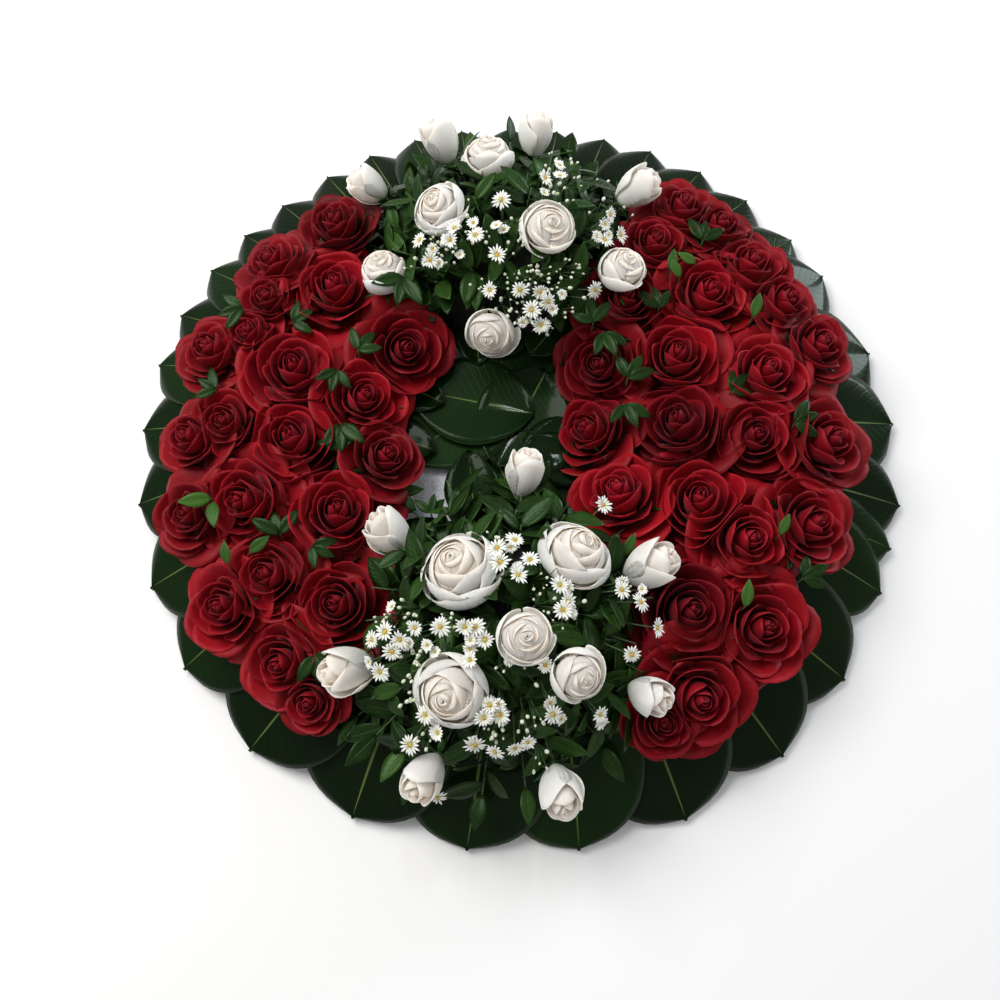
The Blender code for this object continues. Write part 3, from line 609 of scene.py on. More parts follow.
def rim_leaf_shape(i, draw):
    """One leaf of the skirt, from under the roses out to its bent tip."""
    heading = math.radians(RIM_HEADINGS[i])
    out = Vector((math.cos(heading), math.sin(heading), 0))
    side = Vector((-out.y, out.x, 0))
    half = rim_width(i) / 2
    uneven = 1 - 0.035 * math.sin(2.6 * i) ** 2
    tip = RIM_ROOT_RADIUS + (WREATH_RADIUS - RIM_ROOT_RADIUS) * uneven
    tip += RIM_LOW_REACH * max(0.0, -math.sin(heading)) ** 2
    ruffle = draw.uniform(0, ANY_PHASE)
    bow = draw.uniform(-RIM_BOW, RIM_BOW)
    drip_size = RIM_DRIP_SIZE if RIM_HEADINGS[i] < 30 or RIM_HEADINGS[i] > 240 else 0.0

    def shape(u, t):
        t = 1 - (1 - t) ** 1.9
        radius = RIM_START_RADIUS + (tip - RIM_START_RADIUS) * t
        reach = u * half * rim_half_width(t, drip_size)
        point = out * radius + side * (reach + bow * math.sin(math.pi * t))
        lift = abs(u) ** 1.5 * half * RIM_CUP - RIM_CURL * (abs(u) * t) ** 3
        wave = RIM_RIPPLE * math.sin(9 * t + ruffle + 2 * u) * abs(u)
        point.z = rim_profile(radius) + reach * math.tan(RIM_TWIST) + lift + wave
        point.z = max(point.z, LEAST_RIM_HEIGHT)
        return point

    return shape


rim_draw = random.Random(RIM_SEED)
leaf_count = len(RIM_HEADINGS)
for sprig in range(RIM_SPRIGS):
    blades = new_blades()
    first = sprig * leaf_count // RIM_SPRIGS
    after_last = (sprig + 1) * leaf_count // RIM_SPRIGS
    for i in range(first, after_last):
        add_blade(blades, 14, 22, rim_draw.random(), rim_leaf_shape(i, rim_draw))
    node = f"rim_leaves_{sprig + 1}"
    finish_piece(blades, node + "_blades", big_leaf_finish, [node], BIG_LEAF_THICKNESS)
print(leaf_count, "skirt leaves")

# %% [markdown]
# ## The leaves over the middle
# The wreath has no open hole. Its middle is covered with the same big leaves, laid
# flat and pinned, and their pale ribs show between the flowers.

# %% Middle leaves
CENTRE_LEAF_WIDTH = 0.098
CENTRE_LEAF_STRETCH = 1.12
CENTRE_LEAF_LIFT = 0.0022
CENTRE_LEAF_STEP = 0.0021
FLAT_LEAF_CUP = 0.041
FLAT_LEAF_RIPPLE = 0.0012
CENTRE_SEED = 5
CENTRE_LEAVES = [
    ((-0.020, -0.030), -64, 0.130),
    ((0.018, 0.052), 20, 0.110),
    ((-0.062, 0.010), -150, 0.120),
    ((0.004, 0.018), -116, 0.106),
    ((-0.049, 0.036), 168, 0.120),
]


def pointed_oval(t, fullness=0.72, peak=0.9):
    """Half the width of a leaf along its length, as a share of the widest half."""
    return max(0.03, math.sin(math.pi * min(1.0, max(0.0, t)) ** peak) ** fullness)


def flat_leaf_shape(place, heading, length, width, level, draw):
    """A big leaf lying down, with its halves raised a little from the rib."""
    along = Vector((math.cos(heading), math.sin(heading), 0))
    side = Vector((-along.y, along.x, 0))
    ruffle = draw.uniform(0, ANY_PHASE)
    middle = Vector((place[0], place[1], 0))

    def shape(u, t):
        reach = u * width / 2 * pointed_oval(t)
        point = middle + along * length * (t - 0.5) + side * reach
        wave = FLAT_LEAF_RIPPLE * math.sin(7 * t + ruffle) * abs(u)
        point.z = level + FLAT_LEAF_CUP * width * abs(u) ** 1.4 + wave
        return point

    return shape


middle_draw = random.Random(CENTRE_SEED)
blades = new_blades()
for number, (place, heading, length) in enumerate(CENTRE_LEAVES):
    level = BASE_HEIGHT + CENTRE_LEAF_LIFT + number * CENTRE_LEAF_STEP
    turned = math.radians(heading)
    full = length * CENTRE_LEAF_STRETCH
    shape = flat_leaf_shape(place, turned, full, CENTRE_LEAF_WIDTH, level, middle_draw)
    add_blade(blades, 12, 22, 0.5 + 0.5 * middle_draw.random(), shape)
node = "centre_leaves"
finish_piece(blades, node + "_blades", big_leaf_finish, [node], BIG_LEAF_THICKNESS)
print(len(CENTRE_LEAVES), "middle leaves")

# %% [markdown]
# ## Where the roses are
# Each rose is a point of the photograph with its width in millimetres. A red one has
# its tone, from 0 for a dark head to 1 for a bright one, and a white one has its height
# in millimetres and its form. The red ones sit on a rounded bank, and the white ones
# stand higher, on two domes. The head and the way it faces come from these few values.
# Only two white ones, at the sides of the upper dome, are given a way to lean.

# %% Rose places
BANK_CREST_RADIUS = 0.205
BANK_CREST_HEIGHT = 0.104
BANK_OUTER_FALL = 0.012
BANK_OUTER_REACH = 0.105
BANK_INNER_FALL = 0.010
BANK_INNER_REACH = 0.085
BANK_LEAN_GAIN = 1.6
SPRAY_CENTRE_RADIUS = 0.173
SPRAY_FACING_DEPTH = 0.030
SPRAY_CENTRE_SHIFT = -0.012
SPRAY_FACING_OUT = 0.025
FULLNESS = 1.10
WHITE_FULLNESS = 1.06
SIGHT_STEPS = 12
RED_ROSES = {
    "left_1": [((334, 220), 70, 0.15), ((334, 284), 84, 0.75), ((270, 258), 66, 0.35)],
    "left_2": [((266, 296), 56, 0.30), ((247, 331), 50, 0.50), ((209, 347), 68, 0.40)],
    "left_3": [((187, 436), 62, 0.40), ((223, 421), 60, 0.40), ((290, 437), 88, 0.60)],
    "left_4": [((293, 366), 90, 0.70), ((364, 395), 72, 0.75), ((406, 348), 76, 0.45)],
    "left_5": [((386, 454), 63, 0.25), ((337, 510), 92, 0.65)],
    "left_6": [((186, 514), 64, 0.30), ((240, 501), 82, 0.60)],
    "left_7": [((220, 606), 70, 0.55), ((266, 574), 72, 0.50), ((335, 604), 86, 0.55)],
    "left_8": [((279, 664), 72, 0.55), ((308, 703), 52, 0.35)],
    "right_1": [((683, 205), 72, 0.35), ((721, 222), 58, 0.30), ((752, 261), 72, 0.45)],
    "right_2": [((655, 240), 68, 0.40), ((627, 296), 80, 0.40)],
    "right_3": [((787, 298), 62, 0.45), ((822, 342), 66, 0.40), ((768, 369), 80, 0.75)],
    "right_4": [((709, 290), 82, 0.80), ((677, 353), 86, 0.75)],
    "right_5": [((598, 364), 74, 0.20), ((586, 428), 74, 0.45), ((617, 489), 80, 0.95)],
    "right_6": [((677, 420), 92, 0.25), ((700, 498), 92, 0.80)],
    "right_7": [((756, 434), 82, 0.40), ((832, 438), 80, 0.45)],
    "right_8": [((750, 538), 78, 0.75), ((815, 522), 80, 0.50)],
    "right_9": [((691, 610), 94, 0.20), ((765, 627), 85, 0.55)],
    "right_10": [((701, 699), 86, 0.60), ((664, 723), 55, 0.35)],
}
WHITE_TONE = 0.8
WHITE_ROSES = {
    "top": [
        ((440, 141), 42, 118, "bud"),
        ((488, 153), 53, 140, "half_open"),
        ((437, 205), 50, 160, "globe"),
        ((550, 226), 54, 168, "open"),
        ((381, 268), 49, 122, "half_open"),
        ((490, 335), 50, 122, "open"),
        ((638, 189), 42, 112, "bud"),
        ((624, 267), 51, 130, "half_open"),
        ((368, 186), 38, 106, "bud"),
        ((536, 134), 40, 116, "bud"),
    ],
    "bottom": [
        ((524, 473), 40, 116, "bud"),
        ((389, 533), 44, 108, "bud"),
        ((457, 565), 66, 158, "globe"),
        ((578, 549), 62, 152, "globe"),
        ((650, 565), 46, 118, "bud"),
        ((526, 636), 47, 186, "open"),
        ((580, 676), 48, 170, "half_open"),
        ((449, 695), 60, 160, "globe"),
        ((348, 669), 46, 104, "bud"),
        ((650, 695), 37, 110, "bud"),
        ((425, 777), 40, 104, "bud"),
        ((560, 790), 42, 104, "bud"),
    ],
}
OWN_LEANS = {
    "white_rose_top_5": (-0.22, 0.26, 1.0),
    "white_rose_top_8": (0.20, 0.26, 1.0),
}


def bank_height(radius):
    """Height of the red bank: a rounded crest that falls outwards and inwards."""
    out = radius - BANK_CREST_RADIUS
    if out > 0:
        return BANK_CREST_HEIGHT - BANK_OUTER_FALL * (out / BANK_OUTER_REACH) ** 2
    return BANK_CREST_HEIGHT - BANK_INNER_FALL * (out / BANK_INNER_REACH) ** 2


def bank_normal(place):
    """The way a red rose faces: square to the bank, and leaning out a little more."""
    radius = place.xy.length
    slope = (bank_height(radius - 0.002) - bank_height(radius + 0.002)) / 0.004
    lean = BANK_LEAN_GAIN * math.atan(slope)
    out = Vector((place.x, place.y, 0)).normalized()
    return out * math.sin(lean) + Vector((0, 0, math.cos(lean)))


def spray_centre(where):
    """The middle of a spray's foot, on the foam."""
    sign = 1 if where == "top" else -1
    return Vector((SPRAY_CENTRE_SHIFT, sign * SPRAY_CENTRE_RADIUS, BASE_HEIGHT + AIR))


class Bloom:
    """One rose head: its middle, the way it faces, its half width, form and tone."""

    def __init__(self, centre, axis, width, form, node, turn, tone):
        self.centre = centre
        self.axis = axis.normalized()
        self.radius = width / 2
        self.form = form
        self.node = node
        self.turn = turn
        self.tone = tone

    def middle(self):
        """The middle of the head's bulk, which is a little above or below its centre."""
        lift = 0.1 if self.form == "bud" else -0.08
        return self.centre + self.axis * lift * self.radius

    def reach(self):
        """Half the size of the head for its neighbours. A bud is longer than wide."""
        return self.radius * (1.22 if self.form == "bud" else 1.0)


blooms = []
for sprig, roses in RED_ROSES.items():
    for point, width, tone in roses:
        place = place_at_height(point, BANK_CREST_HEIGHT)
        for _ in range(SIGHT_STEPS):
            place = place_at_height(point, bank_height(place.xy.length))
        node = "red_roses_" + sprig
        full = width / 1000 * FULLNESS
        turn = 0.7 * len(blooms)
        blooms.append(Bloom(place, bank_normal(place), full, "red", node, turn, tone))
for where, roses in WHITE_ROSES.items():
    shift = SPRAY_FACING_OUT if where == "top" else -SPRAY_FACING_OUT
    outward = Vector((0, shift, -SPRAY_FACING_DEPTH))
    for number, (point, width, height, form) in enumerate(roses, 1):
        place = place_at_height(point, height / 1000)
        axis = place - (spray_centre(where) + outward)
        node = f"white_rose_{where}_{number}"
        axis = Vector(OWN_LEANS.get(node, axis))
        full = width / 1000 * WHITE_FULLNESS
        blooms.append(Bloom(place, axis, full, form, node, 0.9 * number, WHITE_TONE))
print(len(blooms), "roses placed")

# %% [markdown]
# ## How crowded roses press together
# Heads that grow side by side flatten against each other. For every pair of close
# roses a dividing plane is found between them. A petal's point near that plane is
# eased back, smoothly, so that it comes close to the plane but never crosses it.

# %% Neighbours
PRESS_OVERLAP = 1.10
PRESS_START = 0.74
CLOSE_BY = 1.3


def neighbours_of(bloom):
    """The way to each close rose, and how far this one may spread that way."""
    found = []
    for other in blooms:
        between = other.middle() - bloom.middle()
        together = bloom.reach() + other.reach()
        if other is bloom or between.length > together * CLOSE_BY:
            continue
        share = bloom.reach() / together
        found.append((between.normalized(), between.length * share * PRESS_OVERLAP))
    return found


def press(point, bloom, neighbours):
    """Eases a petal's point back from the plane between each pair of roses."""
    for towards, limit in neighbours * 2:
        along = (point - bloom.middle()).dot(towards)
        free = limit * PRESS_START
        if along > free:
            room = limit - free
            pressed = free + room * (1 - math.exp(-(along - free) / room))
            point = point - towards * (along - pressed)
    return point


pairs = itertools.combinations(blooms, 2)
closest = min((first.middle() - second.middle()).length for first, second in pairs)
print("closest pair:", round(closest, 3), "m")

# %% [markdown]
# ## Building a rose, petal by petal
# A rose's petals grow in a spiral. Each is turned 137.5 degrees from the last, so no
# two lie on one line. The inner ones are rolled tight and stand up. The outer ones
# are broad, lean out and roll their lips down. One recipe makes them all: s runs
# from 0 at the heart to 1 at the outside and blends between the two extremes. A few
# wide guard petals hang round each red head. A white head that is open has a bowl just
# under its lips, for the many small petals packed inside, so that no dark hole shows.

# %% Rose recipe
GOLDEN_TURN = math.radians(137.5)
GUARD_PETALS = 6
GUARD_SHORTENED = 0.25
OUTER_ROW = 0.225
INNER_ROW = 0.150
RED_WAVE = 0.038
WHITE_WAVE = 0.020
PACKING_DEPTH = (0.07, 0.10)
PACKING_SPAN = (0.04, 0.84)
PACKING_HEART = 0.55
FIRST_ROSE_SEED = 100
HEAD_TILT = 0.10
ROSE_FORMS = {
    "red": {
        "petals": 21, "base": (0.10, -0.74), "belly": ((0.24, -0.10), (1.00, -0.60)),
        "lip": ((0.01, 0.36), (1.04, 0.04)), "open": 1.85, "drop": 2.4,
        "wrap": (240, 118), "roll": (0.02, 0.26), "round": (0.10, 0.24), "claw": 0.30,
    },
    "open": {
        "petals": 16, "base": (0.10, -0.76), "belly": ((0.26, 0.14), (1.40, -0.50)),
        "lip": ((0.00, 0.60), (0.90, 0.00)), "open": 1.00, "drop": 1.25,
        "wrap": (220, 135), "roll": (0.01, 0.17), "round": (0.08, 0.24), "claw": 0.6,
    },
    "globe": {
        "petals": 17, "base": (0.10, -0.78), "belly": ((0.30, 0.20), (1.66, -0.48)),
        "lip": ((0.00, 0.64), (0.82, 0.00)), "open": 0.95, "drop": 1.4,
        "wrap": (230, 140), "roll": (0.00, 0.12), "round": (0.08, 0.26), "claw": 0.6,
    },
    "half_open": {
        "petals": 16, "base": (0.12, -0.98), "belly": ((0.28, 0.16), (1.44, -0.54)),
        "lip": ((0.00, 0.70), (0.80, 0.16)), "open": 1.00, "drop": 1.4,
        "wrap": (230, 140), "roll": (0.00, 0.14), "round": (0.08, 0.26), "claw": 0.6,
    },
    "bud": {
        "petals": 11, "base": (0.14, -1.20), "belly": ((0.30, 0.20), (1.26, -0.30)),
        "lip": ((0.02, 1.14), (0.74, 0.98)), "open": 0.9, "drop": 1.6,
        "wrap": (280, 165), "roll": (0.02, 0.26), "round": (0.10, 0.30), "claw": 0.8,
    },
}


def blend(low, high, share):
    """A value between low and high."""
    return low + (high - low) * share


def bezier(first, middle, last, t):
    """A curve from first to last that is drawn towards middle."""
    return first * (1 - t) ** 2 + 2 * middle * t * (1 - t) + last * t * t


def petal_shape(bloom, neighbours, s, turn, draw):
    """Where a petal's points go: round the rose's axis, from its claw to its lip.
    A guard petal, with s over 1, reaches further and hangs lower than the rest."""
    form = ROSE_FORMS[bloom.form]
    guard = max(0.0, s - 1)
    s = min(s, 1.0)
    side = side_of(bloom.axis)
    other = bloom.axis.cross(side)
    spread = s ** form["open"]
    loose = draw.uniform(-1, 1) * s
    (inner_lip, outer_lip), (inner_belly, outer_belly) = form["lip"], form["belly"]
    lip_radius = blend(inner_lip[0], outer_lip[0], spread) * (1 + 0.08 * loose + guard)
    lip_height = blend(inner_lip[1], outer_lip[1], s ** form["drop"]) - 0.07 * loose - 1.3 * guard
    belly_radius = blend(inner_belly[0], outer_belly[0], spread)
    belly_height = blend(inner_belly[1], outer_belly[1], s)
    wrap = math.radians(blend(*form["wrap"], s ** 0.7)) * draw.uniform(0.92, 1.08)
    roll = blend(*form["roll"], s) * draw.uniform(0.6, 1.3)
    ruffle = draw.uniform(0, ANY_PHASE)
    peak = draw.uniform(-0.25, 0.25)
    tuck = 0.075 * (1 - 0.4 * s)
    wave = RED_WAVE if bloom.form == "red" else WHITE_WAVE
    rounding = blend(*form["round"], s)

    def shape(u, t):
        claw = math.sin(min(1.0, t / 0.6) * math.pi / 2)
        rounded = 1 - 0.30 * max(0.0, (t - 0.62) / 0.38) ** 2
        narrow = (form["claw"] + (1 - form["claw"]) * claw) * rounded
        angle = turn + u * wrap / 2 * narrow
        rise = t * (1 - rounding * abs(u - peak * (1 - u * u)) ** 2.3 * t)
        radius = bezier(form["base"][0], belly_radius, lip_radius, rise)
        height = bezier(form["base"][1], belly_height, lip_height, rise)
        over = max(0.0, (rise - 0.60) / 0.40) ** 2
        radius += roll * over * (0.35 + 0.35 * u * u)
        height -= roll * over * (0.30 + 0.95 * u * u)
        radius *= 1 + tuck * u
        height += wave * math.sin(4.5 * u + ruffle) * t * t * (0.3 + s)
        spoke = side * math.cos(angle) + other * math.sin(angle)
        place = bloom.centre + (spoke * radius + bloom.axis * height) * bloom.radius
        return place if guard else press(place, bloom, neighbours)

    return shape


def packing_shape(bloom, neighbours):
    """A bowl just under the lips of a white rose, for the petals packed inside it."""
    form = ROSE_FORMS[bloom.form]
    inner_lip, outer_lip = form["lip"]
    side = side_of(bloom.axis)
    other = bloom.axis.cross(side)

    def shape(u, t):
        s = PACKING_SPAN[0] + PACKING_SPAN[1] * t
        radius = blend(inner_lip[0], outer_lip[0], s ** form["open"])
        height = blend(inner_lip[1], outer_lip[1], s ** form["drop"])
        height -= PACKING_DEPTH[0] + PACKING_DEPTH[1] * s
        spoke = side * math.cos(math.pi * u) + other * math.sin(math.pi * u)
        place = bloom.centre + (spoke * radius + bloom.axis * height) * bloom.radius
        return press(place, bloom, neighbours)

    return shape


def add_rose(bm, bloom, draw):
    """Adds one rose: its spiral of petals, then its packing bowl or guard petals."""
    neighbours = neighbours_of(bloom)
    count = ROSE_FORMS[bloom.form]["petals"]
    across = 7 if bloom.form == "red" else 11
    for i in range(count):
        s = i / (count - 1)
        turn = bloom.turn + GOLDEN_TURN * i + draw.uniform(-0.12, 0.12)
        shape = petal_shape(bloom, neighbours, s, turn, draw)
        add_blade(bm, across, 7, bloom.tone + draw.uniform(-0.16, 0.16), shape, heart=1 - s)
    if bloom.form in ("open", "globe", "half_open"):
        add_blade(bm, 25, 9, bloom.tone, packing_shape(bloom, neighbours), heart=PACKING_HEART)
    if bloom.form != "red":
        return
    for k in range(GUARD_PETALS):
        turn = bloom.turn + 2 * math.pi * k / GUARD_PETALS + draw.uniform(-0.3, 0.3)
        side = side_of(bloom.axis)
        spoke = side * math.cos(turn) + bloom.axis.cross(side) * math.sin(turn)
        outward = spoke.xy.dot(bloom.centre.xy.normalized())
        outer = bloom.centre.xy.length > OUTER_ROW and outward > 0.35
        inner = bloom.centre.xy.length < INNER_ROW and outward < -0.10
        reach = draw.uniform(0.18, 0.36) * (GUARD_SHORTENED if outer or inner else 1.0)
        shape = petal_shape(bloom, neighbours, 1 + reach, turn, draw)
        # A guard petal's tone is drawn mostly below its head's: painted shade on the low petals
        # between the heads.
        add_blade(bm, 7, 7, bloom.tone + draw.uniform(-0.25, 0.05), shape)


print("forms of rose:", ", ".join(ROSE_FORMS))

# %% [markdown]
# ## All the roses
# The same recipe is run for 44 red heads and 22 white ones. Each has its own random
# numbers from a fixed seed, so the wreath comes out the same every time. The roses
# of one red sprig are one piece, because they are one piece of the solid model.

# %% Roses
sprigs = {}
for bloom in blooms:
    sprigs.setdefault(bloom.node, []).append(bloom)
for number, (node, heads) in enumerate(sprigs.items()):
    blades = new_blades()
    rose_draw = random.Random(FIRST_ROSE_SEED + number)
    for bloom in heads:
        tilt = Vector((rose_draw.uniform(-1, 1), rose_draw.uniform(-1, 1), 0)) * HEAD_TILT
        bloom.axis = (bloom.axis + tilt).normalized()
        add_rose(blades, bloom, rose_draw)
    red = node.startswith("red")
    material = red_petal_finish if red else white_petal_finish
    finish_piece(blades, node + "_petals", material, [node], PETAL_THICKNESS)
print(len(sprigs), "rose pieces")

# %% [markdown]
# ## Stems and sepals
# Every rose stands on a stem that goes down into the foam or into a spray's packed
# heart. A small green cup joins the stem to the petals, and five narrow sepals fold
# back from it. They show on the buds that are seen from the side.

# %% Rose stems
SPRAY_CORE_SIZE = Vector((0.088, 0.068, 0.084))
ROSE_ROOT_LIMIT = 0.240
STALK_SINK = 0.010
ROOT_SINK = 0.004
SEPALS = 5
SEPAL_WIDTH = 0.0065
SEPAL_SEED = 17


def small_leaf_shape(root, direction, facing, length, width, droop=0.12, fold=0.18, peak=0.9):
    """A leaf that grows from its root, folds along its rib and droops to its tip."""
    side = direction.cross(facing).normalized()
    up = side.cross(direction).normalized()

    def shape(u, t):
        half = width / 2 * pointed_oval(t, 0.85, peak)
        lift = abs(u) * half * fold - length * droop * t * t
        return root + direction * length * t + side * u * half + up * lift

    return shape


def on_core(where, place, depth):
    """The point under a place on the spray's packed heart, sunk by depth."""
    centre = spray_centre(where)
    towards = (place - centre).normalized()
    size = SPRAY_CORE_SIZE
    scaled = Vector((towards.x / size.x, towards.y / size.y, towards.z / size.z))
    return centre + towards * (1 / scaled.length - depth)


stalks = bmesh.new()
sepals = new_blades()
sepal_draw = random.Random(SEPAL_SEED)
for bloom in blooms:
    base = ROSE_FORMS[bloom.form]["base"]
    cup_low = bloom.centre + bloom.axis * (base[1] - 0.20) * bloom.radius
    cup_high = bloom.centre + bloom.axis * (base[1] + 0.16) * bloom.radius
    if bloom.node.startswith("white"):
        where = "top" if "top" in bloom.node else "bottom"
        root = on_core(where, cup_low, STALK_SINK)
        add_rod(stalks, root, cup_low, 0.0020, 0.0018)
    else:
        flat = Vector((cup_low.x, cup_low.y, 0))
        flat = flat.normalized() * min(flat.length, ROSE_ROOT_LIMIT)
        root = Vector((flat.x, flat.y, BASE_HEIGHT - ROOT_SINK))
        add_rod(stalks, root, cup_low, 0.0024, 0.0020)
    add_rod(stalks, cup_low, cup_high, 0.0026, bloom.radius * 0.30, 8)
    side = side_of(bloom.axis)
    other = bloom.axis.cross(side)
    for k in range(SEPALS):
        angle = bloom.turn + k * 2 * math.pi / SEPALS
        spoke = side * math.cos(angle) + other * math.sin(angle)
        root = cup_low + bloom.axis * 0.12 * bloom.radius + spoke * bloom.radius * 0.12
        lean = sepal_draw.uniform(0.1, 0.9)
        direction = (spoke * (0.7 + lean) + bloom.axis * (1.0 - lean)).normalized()
        length = bloom.radius * 0.95
        shape = small_leaf_shape(root, direction, bloom.axis, length, SEPAL_WIDTH, droop=0.2)
        add_blade(sepals, 2, 5, sepal_draw.random(), shape)
finish_piece(stalks, "rose_stalks", stalk_finish)
finish_piece(sepals, "rose_sepals", small_leaf_finish, thickness=LEAF_THICKNESS)
print(len(blooms), "stalks with their sepals")

# %% [markdown]
# ## Foliage of the two sprays
# Between the white roses stand twigs of small dark leaves. Their twigs start in the
# packed heart of the spray and reach the surface of a dome. Leaves sit on them in
# turns, left and right. A leaf that would cut through a rose is left out, and so is one
# over the bare middle or over the two spots where the photograph shows white foam.

# %% Spray foliage
SPRAY_DOMES = {
    "top": (Vector((-0.020, 0.190, 0.050)), Vector((0.150, 0.148, 0.116))),
    "bottom": (Vector((-0.018, -0.196, 0.050)), Vector((0.165, 0.162, 0.122))),
}
TWIGS = 78
TWIG_LEAVES = 9
TWIG_LEAF_LENGTH = 0.040
LOWEST_TWIG_END = 0.062
LEAF_CLEARANCE = 0.001
FOAM_PATCHES = [((424, 489), 0.018), ((630, 438), 0.012)]
MIDDLE_LOW = Vector((-0.100, -0.045))
MIDDLE_HIGH = Vector((0.062, 0.096))
MIDDLE_MARGIN = 0.012
BANK_TOP_LEVEL = 0.100
BEYOND_DOME = 1.07
SPRAY_SEEDS = {"top": 21, "bottom": 22}


def in_a_rose(point, margin=0.0):
    """True if a point lies in a rose's head or just above its open face."""
    for bloom in blooms:
        offset = point - bloom.middle()
        if offset.length > bloom.reach() * 2.2:
            continue
        above = offset.dot(bloom.axis)
        beside = (offset - bloom.axis * above).length
        low = -0.75 * bloom.radius
        width = bloom.radius * (0.55 + 0.45 * min(1.0, (above - low) / bloom.radius))
        if above > low and beside < width + margin:
            return True
    return False


def hides_foam(place, margin=0.0):
    """True where a leaf would cover one of the bare patches of foam."""
    for point, size in FOAM_PATCHES:
        if (place_at_height(point, place.z) - place).length < size + margin:
            return True
    return False


def over_the_middle(place, margin=0.0):
    """True where the photograph shows the big middle leaves bare."""
    across = MIDDLE_LOW.x - margin < place[0] < MIDDLE_HIGH.x + margin
    return across and MIDDLE_LOW.y - margin < place[1] < MIDDLE_HIGH.y + margin


def spray_twigs(where, draw):
    """Start, end and way of each twig of a spray."""
    centre, size = SPRAY_DOMES[where]
    for k in range(TWIGS):
        rise = math.asin(0.98 - 0.93 * k / (TWIGS - 1))
        turn = GOLDEN_TURN * k + draw.uniform(-0.2, 0.2)
        level = math.cos(rise)
        way = Vector((math.cos(turn) * level, math.sin(turn) * level, math.sin(rise)))
        reach = Vector((way.x * size.x, way.y * size.y, way.z * size.z)) * draw.uniform(0.82, 1.0)
        end = centre + reach
        end.z = max(end.z, LOWEST_TWIG_END)
        yield on_core(where, end, STALK_SINK), end, (end - centre).normalized()


def outside(point):
    """True if a leaf's tip stands out beyond both domes and the bank of red roses."""
    if point.z < BANK_TOP_LEVEL:
        return False
    for centre, size in SPRAY_DOMES.values():
        offset = point - centre
        if Vector([offset[i] / size[i] for i in range(3)]).length < BEYOND_DOME:
            return False
    return True


def add_twig(leaves, stems, start, end, out, draw, count, length):
    """One twig with leaves in turns along its outer part."""
    if over_the_middle(end, MIDDLE_MARGIN) or hides_foam(end):
        return 0
    line = end - start
    add_rod(stems, start, end, 0.0014, 0.0007, 4)
    way = line.normalized()
    side = way.cross(out + Vector((0.01, 0.02, 1))).normalized()
    placed = 0
    for k in range(count):
        share = 0.30 + 0.70 * k / (count - 1)
        root = start + line * share
        sign = 1 if k % 2 else -1
        spin = Matrix.Rotation(draw.uniform(-0.9, 0.9), 3, way)
        direction = (way * draw.uniform(0.35, 0.9) + spin @ side * sign).normalized()
        if k == count - 1:
            direction = (way + side * draw.uniform(-0.3, 0.3)).normalized()
        own = length * draw.uniform(0.75, 1.15)
        middle = root + direction * own * 0.55
        tip = root + direction * own
        if in_a_rose(middle, LEAF_CLEARANCE) or in_a_rose(tip) or outside(tip):
            continue
        if over_the_middle(tip, -MIDDLE_MARGIN) or any(map(hides_foam, (tip, middle, root))):
            continue
        facing = (out + Vector((draw.uniform(-0.5, 0.5), draw.uniform(-0.5, 0.5), 0.6))).normalized()
        width = own * draw.uniform(0.40, 0.50)
        shape = small_leaf_shape(root, direction, facing, own, width, draw.uniform(0.02, 0.22))
        add_blade(leaves, 4, 7, draw.random(), shape)
        placed += 1
    return placed


for where, seed in SPRAY_SEEDS.items():
    leaf_draw = random.Random(seed)
    leaves = new_blades()
    stems = bmesh.new()
    placed = 0
    for start, end, out in spray_twigs(where, leaf_draw):
        placed += add_twig(
            leaves, stems, start, end, out, leaf_draw, TWIG_LEAVES, TWIG_LEAF_LENGTH
        )
    node = f"spray_foliage_{where}"
    finish_piece(leaves, node + "_leaves", small_leaf_finish, [node], LEAF_THICKNESS)
    finish_piece(stems, node + "_twigs", stalk_finish)
    print(where, "spray:", placed, "leaves")

# %% [markdown]
# The imported heart behind the leaves is a dark dome, its near-black green painted
# shade for the stems packed deep in the spray. It starts as a sphere cut in half with
# its flat side closed, then its points are pushed about a little, so that it looks
# like a mass of shaded stems where it shows between the leaves.

# %% Packed hearts
HEART_SEED = 31
HEART_LUMPS = 0.04

for where in SPRAY_DOMES:
    heart = bmesh.new()
    bmesh.ops.create_uvsphere(heart, u_segments=40, v_segments=24, radius=1)
    everything = list(heart.verts) + list(heart.edges) + list(heart.faces)
    bmesh.ops.bisect_plane(
        heart, geom=everything, plane_co=(0, 0, 0), plane_no=(0, 0, 1), clear_inner=True
    )
    rim = [edge for edge in heart.edges if len(edge.link_faces) == 1]
    bmesh.ops.holes_fill(heart, edges=rim, sides=0)
    lumps = random.Random(HEART_SEED)
    for vert in heart.verts:
        if vert.co.z > 0.05:
            vert.co *= 1 + lumps.uniform(-HEART_LUMPS, HEART_LUMPS)
    bmesh.ops.scale(heart, vec=SPRAY_CORE_SIZE, verts=heart.verts)
    bmesh.ops.translate(heart, vec=spray_centre(where), verts=heart.verts)
    finish_piece(heart, f"spray_heart_{where}", dark_finish)
print("two packed hearts")

# %% [markdown]
# ## Leaves under the red roses
# Leaves are laid flat over the foam first, in rings that lap, so that no white shows
# between the roses. Three more fill gaps that the rings leave beside the middle.

# %% Bank leaves
GROUND_RINGS = [(0.092, 13), (0.262, 30), (0.215, 25), (0.165, 20), (0.124, 16)]
GROUND_LEAF = (0.086, 0.052)
GROUND_LIFT = 0.0015
RING_STEP = 0.0030
LAP_STEP = 0.0012
BARE_FOAM_MARGIN = 0.018
GAP_LEAVES = [((556, 462), 150), ((548, 452), 230), ((472, 491), 95)]
GAP_LEAF = (0.080, 0.056)
GAP_LIFT = 0.0110
GROUND_SEED = 41

